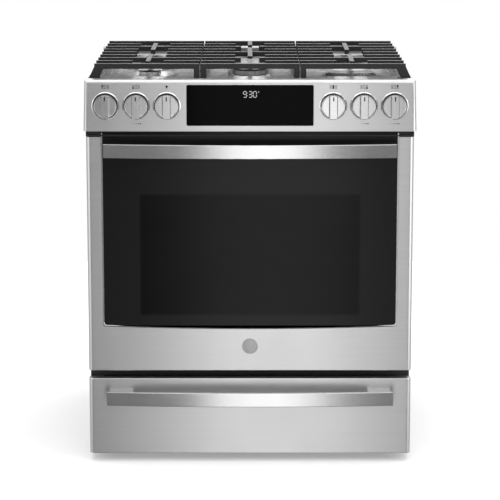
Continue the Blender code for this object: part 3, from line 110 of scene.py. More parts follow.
@dataclass(frozen=True)
class Wire:
    """One output socket, with the arithmetic that Python writes as operators."""

    graph: "Graph"
    socket: bpy.types.NodeSocket

    def _math(self, operation: str, *values: Number) -> "Wire":
        """Add one Math node.

        Args:
            operation: The Math node's operation.
            values: Its inputs, in order.

        Returns:
            The node's result.
        """
        node = self.graph.make(
            "ShaderNodeMath", {"operation": operation}, dict(enumerate(values))
        )
        return Wire(self.graph, node.outputs[0])

    def __add__(self, other: Number) -> "Wire":
        """self + other."""
        return self._math("ADD", self, other)

    __radd__ = __add__

    def __sub__(self, other: Number) -> "Wire":
        """self - other."""
        return self._math("SUBTRACT", self, other)

    def __rsub__(self, other: Number) -> "Wire":
        """other - self."""
        return self._math("SUBTRACT", other, self)

    def __mul__(self, other: Number) -> "Wire":
        """self * other."""
        return self._math("MULTIPLY", self, other)

    __rmul__ = __mul__

    def __truediv__(self, other: Number) -> "Wire":
        """self / other."""
        return self._math("DIVIDE", self, other)

    def __pow__(self, other: Number) -> "Wire":
        """self ** other."""
        return self._math("POWER", self, other)

    def __abs__(self) -> "Wire":
        """The distance from zero."""
        return self._math("ABSOLUTE", self)

    def wave(self) -> "Wire":
        """The sine."""
        return self._math("SINE", self)

    def spread(self, low: float, high: float) -> "Wire":
        """Map 0..1 to low..high."""
        return self * (high - low) + low

    def ramp(self, start: float, end: float) -> "Wire":
        """0 up to start, 1 from end on, and straight between, clamped."""
        node = self.graph.make(
            "ShaderNodeMapRange",
            {"clamp": True},
            {"Value": self, "From Min": start, "From Max": end},
        )
        return Wire(self.graph, node.outputs[0])


class Graph:
    """One material's nodes."""

    def __init__(self, name: str) -> None:
        """Start an empty material of this name."""
        self.material = bpy.data.materials.new(name)
        self.material.use_nodes = True
        self.tree = self.material.node_tree
        self.tree.nodes.clear()
        self.place = Wire(self, self.make("ShaderNodeTexCoord").outputs["Object"])

    def make(
        self,
        kind: str,
        settings: Mapping[str, Any] | None = None,
        sockets: Mapping[Any, Any] | None = None,
    ) -> bpy.types.Node:
        """Add one node.

        Args:
            kind: The node's Blender type.
            settings: Its properties, set before its sockets.
            sockets: A value or a Wire for each input, by name or number.

        Returns:
            The new node.
        """
        node = self.tree.nodes.new(kind)
        for key, value in (settings or {}).items():
            setattr(node, key, value)
        for key, value in (sockets or {}).items():
            if isinstance(value, Wire):
                self.tree.links.new(value.socket, node.inputs[key])
            else:
                node.inputs[key].default_value = value
        return node

    def stretched(self, factors: Point) -> Wire:
        """The place on the piece, multiplied axis by axis."""
        node = self.make(
            "ShaderNodeVectorMath",
            {"operation": "MULTIPLY"},
            {0: self.place, 1: tuple(factors)},
        )
        return Wire(self, node.outputs[0])

    def axis(self, axis: Axis) -> Wire:
        """One coordinate of the place on the piece, in metres."""
        node = self.make("ShaderNodeSeparateXYZ", None, {0: self.place})
        return Wire(self, node.outputs[axis.number])

    def noise(self, factors: Point, detail: float = 2.0, rough: float = 0.5) -> Wire:
        """Cloudy noise.

        Args:
            factors: Its cells per metre along X, Y and Z.
            detail: How many finer layers it has.
            rough: How strong those are.

        Returns:
            A value from 0 to 1.
        """
        node = self.make(
            "ShaderNodeTexNoise",
            {"noise_dimensions": "3D"},
            {
                "Vector": self.stretched(factors),
                "Scale": 1.0,
                "Detail": detail,
                "Roughness": rough,
            },
        )
        return Wire(self, node.outputs[0])

    def cells(self, factors: Point, output: str = "Distance") -> Wire:
        """Voronoi cells, this many per metre along X, Y and Z."""
        node = self.make(
            "ShaderNodeTexVoronoi",
            None,
            {"Vector": self.stretched(factors), "Scale": 1.0},
        )
        return Wire(self, node.outputs[output])

    def mix(self, factor: Wire, first: Any, second: Any) -> Wire:
        """Blend two colours, each a Wire or a grey or RGB value."""
        node = self.make(
            "ShaderNodeMix",
            {"data_type": "RGBA"},
            {0: factor, 6: shade_of(first), 7: shade_of(second)},
        )
        return Wire(self, node.outputs[2])

    def bump(self, height: Wire, strength: float, distance: float) -> Wire:
        """A bumped normal from a height of 0 to 1 over this distance in metres."""
        node = self.make(
            "ShaderNodeBump",
            None,
            {"Height": height, "Strength": strength, "Distance": distance},
        )
        return Wire(self, node.outputs[0])

    def close(self, sockets: Mapping[str, Any]) -> bpy.types.Material:
        """Finish with a Principled shader.

        Args:
            sockets: The shader's inputs.

        Returns:
            The finished material.
        """
        shader = self.make("ShaderNodeBsdfPrincipled", None, sockets)
        output = self.make("ShaderNodeOutputMaterial")
        self.tree.links.new(shader.outputs[0], output.inputs["Surface"])
        return self.material


def shade_of(value: Any) -> Any:
    """A grey or RGB value as RGBA; a Wire stays as it is."""
    if isinstance(value, Wire):
        return value
    if isinstance(value, (int, float)):
        return (value, value, value, 1.0)
    return (*value, 1.0)


# --------------------------------------------------------------------- finishes


@dataclass(frozen=True)
class Finish:
    """What a surface looks like. Each finish makes its material once."""

    name: str
    slot: str
    _made: ClassVar[dict[str, bpy.types.Material]] = {}

    def material(self) -> bpy.types.Material:
        """The Blender material of this finish."""
        if self.name not in self._made:
            self._made[self.name] = self.shade(Graph(self.name))
        return self._made[self.name]

    def shade(self, graph: Graph) -> bpy.types.Material:
        """Lay out the nodes."""
        raise NotImplementedError


@dataclass(frozen=True)
class BrushedSteel(Finish):
    """Sheet steel brushed one way, with faint clouding and wipe marks."""

    tone: float = 0.62
    roughness: float = 0.32
    grain: Axis = Axis.X
    groove: float = 0.00014
    fineness: float = 1500.0

    def shade(self, graph: Graph) -> bpy.types.Material:
        """Long fine scratches tilt the surface across the grain only."""
        fine = graph.noise(self._across(6.0, self.fineness), 3.0, 0.6)
        broad = graph.noise(self._across(1.2, self.fineness / 7), 2.0)
        cloud = graph.noise((2.2, 2.2, 2.2), 3.0, 0.6)
        wipe = graph.noise((9.0, 9.0, 3.5), 4.0, 0.65).ramp(0.45, 0.75)
        line = fine * 0.6 + broad * 0.4
        return graph.close(
            {
                "Base Color": graph.mix(line, self.tone * 0.88, self.tone * 1.1),
                "Metallic": 1.0,
                "Roughness": line.spread(-0.07, 0.07)
                + cloud.spread(-0.03, 0.03)
                + wipe * 0.03
                + self.roughness,
                "Normal": graph.bump(line, 0.5, self.groove),
            }
        )

    def _across(self, along: float, across: float) -> tuple[float, float, float]:
        """Noise cells per metre with few along the grain and many across it."""
        cells = [across] * 3
        cells[self.grain.number] = along
        return tuple(cells)


@dataclass(frozen=True)
class TurnedMetal(Finish):
    """Metal with a soft satin sheen and a little handling wear."""

    tone: float = 0.5
    roughness: float = 0.3
    pits: float = 0.00005

    def shade(self, graph: Graph) -> bpy.types.Material:
        """Small grains, broad clouds and darker specks."""
        grain = graph.noise((1400.0, 1400.0, 1400.0), 2.0)
        cloud = graph.noise((14.0, 14.0, 14.0), 3.0, 0.6)
        stain = graph.noise((45.0, 45.0, 45.0), 4.0, 0.7).ramp(0.55, 0.8)
        tone = graph.mix(cloud, self.tone * 0.9, self.tone * 1.1)
        return graph.close(
            {
                "Base Color": graph.mix(stain * 0.35, tone, self.tone * 0.7),
                "Metallic": 1.0,
                "Roughness": grain.spread(-0.05, 0.05)
                + stain * 0.08
                + cloud.spread(-0.04, 0.04)
                + self.roughness,
                "Normal": graph.bump(grain, 0.35, self.pits),
            }
        )


@dataclass(frozen=True)
class Tinted(TurnedMetal):
    """Coloured metal, such as brass."""

    colour: tuple[float, float, float] = (0.72, 0.52, 0.22)

    def shade(self, graph: Graph) -> bpy.types.Material:
        """Warm metal, tarnished in patches."""
        grain = graph.noise((900.0, 900.0, 900.0), 2.0)
        tarnish = graph.noise((60.0, 60.0, 60.0), 4.0, 0.7).ramp(0.4, 0.75)
        dull = tuple(c * 0.55 for c in self.colour)
        return graph.close(
            {
                "Base Color": graph.mix(tarnish, self.colour, dull),
                "Metallic": 1.0,
                "Roughness": tarnish * 0.15 + grain.spread(0.0, 0.06) + self.roughness,
                "Normal": graph.bump(grain, 0.3, self.pits),
            }
        )


@dataclass(frozen=True)
class BlackGlass(Finish):
    """Ceramic-printed black glass; where it is a clear window its base colour is made
    darker, as painted shade for the unlit oven behind.
    """

    window: tuple[float, float, float] | None = None
    sheen: float = 0.2
    tone: float = 0.0045
    bend: float = 1.25

    def shade(self, graph: Graph) -> bpy.types.Material:
        """A polished face with faint smears; the window is an even darker block of painted
        shade.

        Args:
            graph: The material's nodes.

        Returns:
            The material.
        """
        smear = graph.noise((5.0, 5.0, 22.0), 4.0, 0.65)
        dust = graph.noise((700.0, 700.0, 700.0), 2.0).ramp(0.62, 0.8)
        base = graph.mix(smear, self.tone * 0.8, self.tone * 1.2)
        # Painted shade: the window is darkened in base colour for the dark oven seen
        # through it; the border keeps the printed frit's tone.
        if self.window:
            half, low, high = self.window
            across = abs(graph.axis(Axis.X)).ramp(half - 0.004, half + 0.004)
            middle, reach = (low + high) / 2, (high - low) / 2
            up = abs(graph.axis(Axis.Z) - middle).ramp(reach - 0.004, reach + 0.004)
            edge = across + up - across * up
            base = graph.mix(edge, self.tone * 0.25, self.tone * 1.6)
        return graph.close(
            {
                "Base Color": graph.mix(dust * 0.2, base, 0.03),
                "Roughness": smear.spread(-0.03, 0.04) + dust * 0.05 + self.sheen,
                "IOR": self.bend,
            }
        )


@dataclass(frozen=True)
class SatinPaint(Finish):
    """Powder-coated sheet metal with a fine orange-peel surface."""

    colour: tuple[float, float, float] = (0.035, 0.035, 0.037)
    roughness: float = 0.42

    def shade(self, graph: Graph) -> bpy.types.Material:
        """Orange peel, slight clouding and rubbed patches."""
        peel = graph.noise((520.0, 520.0, 520.0), 2.0)
        cloud = graph.noise((4.0, 4.0, 4.0), 3.0)
        rub = graph.noise((22.0, 22.0, 8.0), 4.0, 0.7).ramp(0.55, 0.8)
        light = tuple(c * 1.25 + 0.004 for c in self.colour)
        return graph.close(
            {
                "Base Color": graph.mix(cloud * 0.6 + rub * 0.4, self.colour, light),
                "Roughness": peel.spread(-0.04, 0.04) - rub * 0.08 + self.roughness,
                "Normal": graph.bump(peel, 0.35, 0.00012),
            }
        )


@dataclass(frozen=True)
class Galvanised(Finish):
    """Zinc-coated sheet with its crystal spangle."""

    tone: float = 0.46

    def shade(self, graph: Graph) -> bpy.types.Material:
        """Each crystal takes its own grey and gloss."""
        crystal = graph.cells((85.0, 85.0, 85.0), "Color")
        split = graph.make("ShaderNodeSeparateColor", None, {0: crystal})
        grey = Wire(graph, split.outputs[0])
        haze = graph.noise((6.0, 6.0, 6.0), 4.0, 0.6)
        return graph.close(
            {
                "Base Color": graph.mix(
                    grey * 0.6 + haze * 0.4, self.tone * 0.8, self.tone * 1.2
                ),
                "Metallic": 1.0,
                "Roughness": grey.spread(0.3, 0.5) + haze.spread(-0.05, 0.05),
                "Normal": graph.bump(grey, 0.15, 0.0001),
            }
        )


@dataclass(frozen=True)
class Enamel(Finish):
    """Fired porcelain enamel with pale flecks."""

    colour: tuple[float, float, float] = (0.012, 0.013, 0.018)
    fleck: tuple[float, float, float] = (0.30, 0.31, 0.34)
    roughness: float = 0.22

    def shade(self, graph: Graph) -> bpy.types.Material:
        """A glassy coat over a slightly wavy ground, flecked all over."""
        specks = 1 - graph.cells((420.0, 420.0, 420.0)).ramp(0.10, 0.20)
        thin = graph.noise((150.0, 150.0, 150.0), 2.0).ramp(0.45, 0.6)
        wave = graph.noise((35.0, 35.0, 35.0), 2.0)
        return graph.close(
            {
                "Base Color": graph.mix(specks * thin, self.colour, self.fleck),
                "Roughness": wave.spread(-0.05, 0.05) + self.roughness,
                "Normal": graph.bump(wave, 0.25, 0.0006),
                "Coat Weight": 0.4,
                "Coat Roughness": 0.08,
            }
        )


@dataclass(frozen=True)
class CastIron(Finish):
    """Cast iron under matt black enamel, with a patchy painted highlight that makes its
    upper faces paler.
    """

    tone: float = 0.008
    roughness: float = 0.48
    grain: float = 0.0002

    def shade(self, graph: Graph) -> bpy.types.Material:
        """A sandy skin; upward faces get a patchy painted highlight in base colour and
        slightly less roughness.
        """
        sand = graph.noise((420.0, 420.0, 420.0), 4.0, 0.6)
        lump = graph.noise((70.0, 70.0, 70.0), 3.0)
        up = Wire(
            graph,
            graph.make(
                "ShaderNodeSeparateXYZ",
                None,
                {0: Wire(graph, graph.make("ShaderNodeNewGeometry").outputs["Normal"])},
            ).outputs[2],
        )
        # Painted highlight: faces pointing up are made paler in patches, like tops that
        # catch the light.
        top_highlight = up.ramp(0.7, 1.0) * lump.ramp(0.45, 0.7)
        return graph.close(
            {
                "Base Color": graph.mix(top_highlight * 0.5, self.tone, self.tone * 3.2),
                "Roughness": sand.spread(-0.08, 0.10) - top_highlight * 0.07 + self.roughness,
                "Normal": graph.bump(sand * 0.6 + lump * 0.4, 0.4, self.grain),
                "Coat Weight": 0.1,
                "Coat Roughness": 0.35,
            }
        )


@dataclass(frozen=True)
class Plastic(Finish):
    """Rubber, ink or moulded plastic."""

    colour: tuple[float, float, float] = (0.01, 0.01, 0.01)
    roughness: float = 0.55
    texture: float = 0.0001

    def shade(self, graph: Graph) -> bpy.types.Material:
        """A fine moulded grain with dusty patches."""
        grain = graph.noise((900.0, 900.0, 900.0), 2.0)
        dust = graph.noise((30.0, 30.0, 30.0), 4.0, 0.65)
        pale = tuple(c * 1.5 + 0.006 for c in self.colour)
        return graph.close(
            {
                "Base Color": graph.mix(dust.ramp(0.4, 0.8), self.colour, pale),
                "Roughness": grain.spread(-0.06, 0.06)
                + dust.spread(-0.04, 0.06)
                + self.roughness,
                "Normal": graph.bump(grain, 0.3, self.texture),
            }
        )


@dataclass(frozen=True)
class WovenFibre(Finish):
    """A woven heat seal."""

    colour: tuple[float, float, float] = (0.07, 0.07, 0.072)

    def shade(self, graph: Graph) -> bpy.types.Material:
        """Crossing strands, from two sine waves."""
        pitch = 2 * math.pi / 0.0022
        across = (graph.axis(Axis.X) * pitch).wave()
        up = (graph.axis(Axis.Z) * pitch).wave()
        weave = (across * up).spread(0.5, 1.0)
        fuzz = graph.noise((1500.0, 1500.0, 1500.0), 2.0)
        pale = tuple(c * 2.2 for c in self.colour)
        return graph.close(
            {
                "Base Color": graph.mix(weave * 0.7 + fuzz * 0.3, self.colour, pale),
                "Roughness": fuzz.spread(0.75, 0.95),
                "Normal": graph.bump(weave, 0.6, 0.0004),
            }
        )


@dataclass(frozen=True)
class ClearGlass(Finish):
    """Tinted window or lamp glass, seen as dark or milky from outside."""

    colour: tuple[float, float, float] = (0.02, 0.02, 0.02)
    roughness: float = 0.06
    prism: float = 0.0

    def shade(self, graph: Graph) -> bpy.types.Material:
        """Smooth or prismatic glass with a trace of grease."""
        grease = graph.noise((12.0, 12.0, 12.0), 4.0, 0.7).ramp(0.45, 0.8)
        ripple = graph.cells((220.0, 220.0, 220.0))
        pale = tuple(min(1.0, c * 1.3 + 0.01) for c in self.colour)
        return graph.close(
            {
                "Base Color": graph.mix(grease, self.colour, pale),
                "Roughness": grease * 0.12 + self.roughness,
                "Normal": graph.bump(ripple, self.prism, 0.0006),
                "Coat Weight": 0.6,
            }
        )


@dataclass(frozen=True)
class Glow(Finish):
    """Lit display segments."""

    colour: tuple[float, float, float] = (0.80, 0.84, 0.86)
    strength: float = 0.75

    def shade(self, graph: Graph) -> bpy.types.Material:
        """Light that is a little uneven along each segment."""
        uneven = graph.noise((400.0, 400.0, 400.0), 1.0)
        dim = tuple(c * 0.85 for c in self.colour)
        return graph.close(
            {
                "Base Color": shade_of(0.02),
                "Roughness": uneven.spread(0.3, 0.4),
                "Emission Color": graph.mix(uneven, dim, self.colour),
                "Emission Strength": self.strength,
            }
        )


STEEL = BrushedSteel("brushed_steel_sheet", "stainless_steel")
PAN_STEEL = BrushedSteel(
    "brushed_cooktop_steel", "stainless_steel", tone=0.40, roughness=0.3
)
HANDLE_STEEL = BrushedSteel(
    "brushed_handle_steel", "handle_steel", tone=0.66, roughness=0.2, fineness=2200.0
)
KNOB_STEEL = BrushedSteel(
    "brushed_knob_metal",
    "knob_metal",
    tone=0.68,
    roughness=0.24,
    grain=Axis.Z,
    fineness=2600.0,
    groove=0.00005,
)
BEZEL_STEEL = TurnedMetal("satin_bezel", "knob_metal", tone=0.84, roughness=0.16)
BADGE_METAL = TurnedMetal("satin_badge", "badge_metal", tone=0.42, roughness=0.4)
TRIM_STEEL = TurnedMetal("bright_trim", "stainless_steel", tone=0.75, roughness=0.16)
PAINT = SatinPaint("cabinet_powder_coat", "cabinet_paint")
STRIP_PAINT = SatinPaint(
    "black_strip_coat", "cabinet_paint", colour=(0.006, 0.006, 0.006), roughness=0.5
)
ZINC = Galvanised("zinc_sheet", "galvanised_sheet")
FRAME_STEEL = TurnedMetal("plated_frame_steel", "frame_steel", tone=0.36, roughness=0.4)
ENAMEL = Enamel("oven_enamel_blue_black", "oven_enamel")
IRON = CastIron("cast_iron_enamel", "cast_iron")
CAP_IRON = CastIron(
    "burner_cap_enamel", "cast_iron", tone=0.010, roughness=0.3, grain=0.0001
)
ALUMINIUM = TurnedMetal(
    "cast_burner_aluminium", "burner_aluminium", tone=0.48, roughness=0.42, pits=0.0002
)
BRIGHT_DISH = TurnedMetal(
    "spun_burner_dish", "burner_aluminium", tone=0.70, roughness=0.3, pits=0.00002
)
BRASS = Tinted("valve_brass_satin", "valve_brass")
RUBBER = Plastic("foot_rubber_black", "foot_rubber", roughness=0.8, texture=0.0003)
# Near-black finish for the gaps round the knobs: painted shade where bezel wells and cap
# sides lie in shadow.
GAP_SHADE_BLACK = Plastic("painted_gap_shade", "foot_rubber", colour=(0.004,) * 3, roughness=0.9)
INK = Plastic("printed_ink", "black_glass", colour=(0.004, 0.004, 0.004), roughness=0.8)
FIBRE = WovenFibre("door_seal_braid", "gasket_fibre")
CHROME = TurnedMetal("rack_chrome_plate", "rack_chrome", tone=0.72, roughness=0.14)
LAMP = ClearGlass(
    "oven_lamp_glass", "lamp_glass", colour=(0.62, 0.62, 0.58), prism=0.7
)
WINDOW = ClearGlass("inner_window_glass", "window_glass")
CERAMIC = ClearGlass(
    "igniter_ceramic", "lamp_glass", colour=(0.72, 0.70, 0.66), roughness=0.35
)
DISPLAY_GLASS = BlackGlass(
    "display_black_glass", "black_glass", tone=0.0004, sheen=0.1, bend=1.12
)
SEGMENTS = Glow("display_segments", "lamp_glass")


# -------------------------------------------------------------------- workpieces


class Workpiece:
    """One mesh on the bench, shaped with Blender's own modelling tools."""

    def __init__(self, thing: bpy.types.Object) -> None:
        """Take up an object that is already there."""
        self.thing = thing

    @staticmethod
    def _clear() -> None:
        """Go to object mode with nothing selected."""
        if bpy.context.mode != "OBJECT":
            bpy.ops.object.mode_set(mode="OBJECT")
        bpy.ops.object.select_all(action="DESELECT")

    @classmethod
    def _taken(cls, name: str) -> "Workpiece":
        """Name the primitive just added and put its place in its mesh."""
        piece = cls(bpy.context.object)
        piece.thing.name = name
        return piece.settle()

    @classmethod
    def block(cls, name: str, low: Point, high: Point) -> "Workpiece":
        """A box.

        Args:
            name: The piece's name.
            low: Its lowest corner.
            high: Its highest corner.

        Returns:
            The piece.
        """
        cls._clear()
        bpy.ops.mesh.primitive_cube_add(
            size=1,
            location=[(a + b) / 2 for a, b in zip(low, high)],
            scale=[b - a for a, b in zip(low, high)],
        )
        return cls._taken(name)

    @classmethod
    def rod(
        cls,
        name: str,
        centre: Point,
        radius: float,
        length: float,
        axis: Axis = Axis.Z,
        sides: int = 64,
    ) -> "Workpiece":
        """A round bar or disc.

        Args:
            name: The piece's name.
            centre: Its middle.
            radius: Its radius.
            length: Its length along the axis.
            axis: The way it lies.
            sides: How many flat sides make it round.

        Returns:
            The piece.
        """
        cls._clear()
        bpy.ops.mesh.primitive_cylinder_add(
            vertices=sides,
            radius=radius,
            depth=length,
            location=centre,
            rotation=axis.value,
        )
        return cls._taken(name)

    @classmethod
    def from_node(cls, name: str, node: bpy.types.Object) -> "Workpiece":
        """A merged copy of a CAD node, with flat areas made single faces again."""
        cls._clear()
        copy = bpy.data.objects.new(name, node.data.copy())
        bpy.context.scene.collection.objects.link(copy)
        piece = cls(copy)
        piece.faces(lambda centre, normal: True)
        bpy.ops.mesh.remove_doubles(threshold=0.00001)
        bpy.ops.mesh.dissolve_limited(angle_limit=math.radians(0.5))
        return piece.done()

    def activate(self) -> "Workpiece":
        """Make this the one selected object."""
        self._clear()
        self.thing.select_set(True)
        bpy.context.view_layer.objects.active = self.thing
        return self

    def settle(self) -> "Workpiece":
        """Move the object's place, turn and size into its mesh."""
        self.activate()
        bpy.ops.object.transform_apply(location=True, rotation=True, scale=True)
        return self

    def done(self) -> "Workpiece":
        """Leave edit mode."""
        if bpy.context.mode != "OBJECT":
            bpy.ops.object.mode_set(mode="OBJECT")
        return self

    def _bare(self) -> bpy.types.Mesh:
        """The mesh with nothing selected in it."""
        self.activate()
        mesh = self.thing.data
        for items in (mesh.vertices, mesh.edges, mesh.polygons):
            items.foreach_set("select", [False] * len(items))
        return mesh

    def faces(self, test: FaceTest) -> "Workpiece":
        """Start editing with the faces whose centre and normal pass a test."""
        for face in self._bare().polygons:
            face.select = bool(test(face.center, face.normal))
        bpy.context.tool_settings.mesh_select_mode = (False, False, True)
        bpy.ops.object.mode_set(mode="EDIT")
        return self

    def edges(self, test: EdgeTest) -> "Workpiece":
        """Start editing with the edges whose two ends pass a test."""
        mesh = self._bare()
        for edge in mesh.edges:
            ends = [mesh.vertices[i] for i in edge.vertices]
            if test(ends[0].co, ends[1].co):
                edge.select = True
                for end in ends:
                    end.select = True
        bpy.context.tool_settings.mesh_select_mode = (False, True, False)
        bpy.ops.object.mode_set(mode="EDIT")
        return self

    def extrude(self, offset: Point) -> "Workpiece":
        """Draw the selection out by an offset."""
        bpy.ops.mesh.extrude_region_move(
            TRANSFORM_OT_translate={"value": tuple(offset)}
        )
        return self

    def inset(self, width: float, depth: float = 0.0) -> "Workpiece":
        """Inset the selection, sinking (below 0) or raising it."""
        bpy.ops.mesh.inset(thickness=width, depth=depth, use_even_offset=True)
        return self

    def stretch(self, factors: Point, centre: Point) -> "Workpiece":
        """Scale the selection about a point."""
        bpy.ops.transform.resize(value=tuple(factors), center_override=tuple(centre))
        return self

    def chamfer(self, width: float, segments: int = 1) -> "Workpiece":
        """Bevel the selected edges."""
        bpy.ops.mesh.bevel(offset=width, segments=segments, affect="EDGES")
        return self

    def modify(self, kind: str, **settings: Any) -> "Workpiece":
        """Add a modifier of this kind with these settings and apply it."""
        self.done()
        modifier = self.thing.modifiers.new(kind.lower(), kind)
        for key, value in settings.items():
            setattr(modifier, key, value)
        self.activate()
        bpy.ops.object.modifier_apply(modifier=modifier.name)
        return self

    def soften(
        self, width: float, segments: int = 3, angle: float = 40.0
    ) -> "Workpiece":
        """Round every edge sharper than an angle in degrees."""
        return self.modify(
            "BEVEL",
            width=width,
            segments=segments,
            limit_method="ANGLE",
            angle_limit=math.radians(angle),
            harden_normals=False,
        )

    def combine(self, operation: str, *tools: "Workpiece") -> "Workpiece":
        """Cut with, add or keep what is shared with other pieces, using them up."""
        for tool in tools:
            tool.done()
            self.modify("BOOLEAN", operation=operation, object=tool.thing)
            bpy.data.objects.remove(tool.thing)
        return self

    def less(self, *tools: "Workpiece") -> "Workpiece":
        """Cut these pieces away."""
        return self.combine("DIFFERENCE", *tools)

    def join(self, *others: "Workpiece") -> "Workpiece":
        """Gather other pieces into this one's mesh."""
        self.activate()
        for other in others:
            other.thing.select_set(True)
        bpy.ops.object.join()
        return self

    def copy(self, name: str, offset: Point = (0.0, 0.0, 0.0)) -> "Workpiece":
        """A copy with its own mesh, moved by an offset."""
        self.activate()
        bpy.ops.object.duplicate(linked=False)
        twin = Workpiece(bpy.context.object)
        twin.thing.name = name
        bpy.ops.transform.translate(value=tuple(offset))
        return twin.settle()

    def mirrored(self, name: str) -> "Workpiece":
        """A copy on the other side of the middle plane, facing out again."""
        twin = self.copy(name)
        twin.thing.scale = (-1.0, 1.0, 1.0)
        return twin.settle().outward()

    def outward(self) -> "Workpiece":
        """Merge doubled points and turn every face outwards."""
        self.faces(lambda centre, normal: True)
        bpy.ops.mesh.remove_doubles(threshold=0.000005)
        bpy.ops.mesh.normals_make_consistent(inside=False)
        return self.done()

    def smooth(self, angle: float = 35.0) -> "Workpiece":
        """Shade smooth, except across edges sharper than an angle in degrees."""
        self.done().activate()
        bpy.ops.object.shade_smooth_by_angle(angle=math.radians(angle))
        return self.modify("WEIGHTED_NORMAL", weight=100, keep_sharp=True)

    def dress(self, finish: Finish, body: str, *stands_for: str) -> "Workpiece":
        """Give the piece its finish and its body.

        Args:
            finish: How its surface looks.
            body: The CAD body that carries it.
            stands_for: The CAD nodes that it replaces.

        Returns:
            The finished piece.
        """
        self.done().settle()
        self.thing.data.materials.clear()
        self.thing.data.materials.append(finish.material())
        self.thing.data.name = self.thing.name
        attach(self.thing, body)
        if stands_for:
            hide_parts(*stands_for)
        count = len(self.thing.data.polygons)
        LOG.info("%s: %d faces, %s", self.thing.name, count, finish.name)
        return self


def middle(low: Point, high: Point) -> Vector:
    """The point halfway between two corners."""
    return (Vector(low) + Vector(high)) / 2


# ------------------------------------------------------------------ sub-assemblies


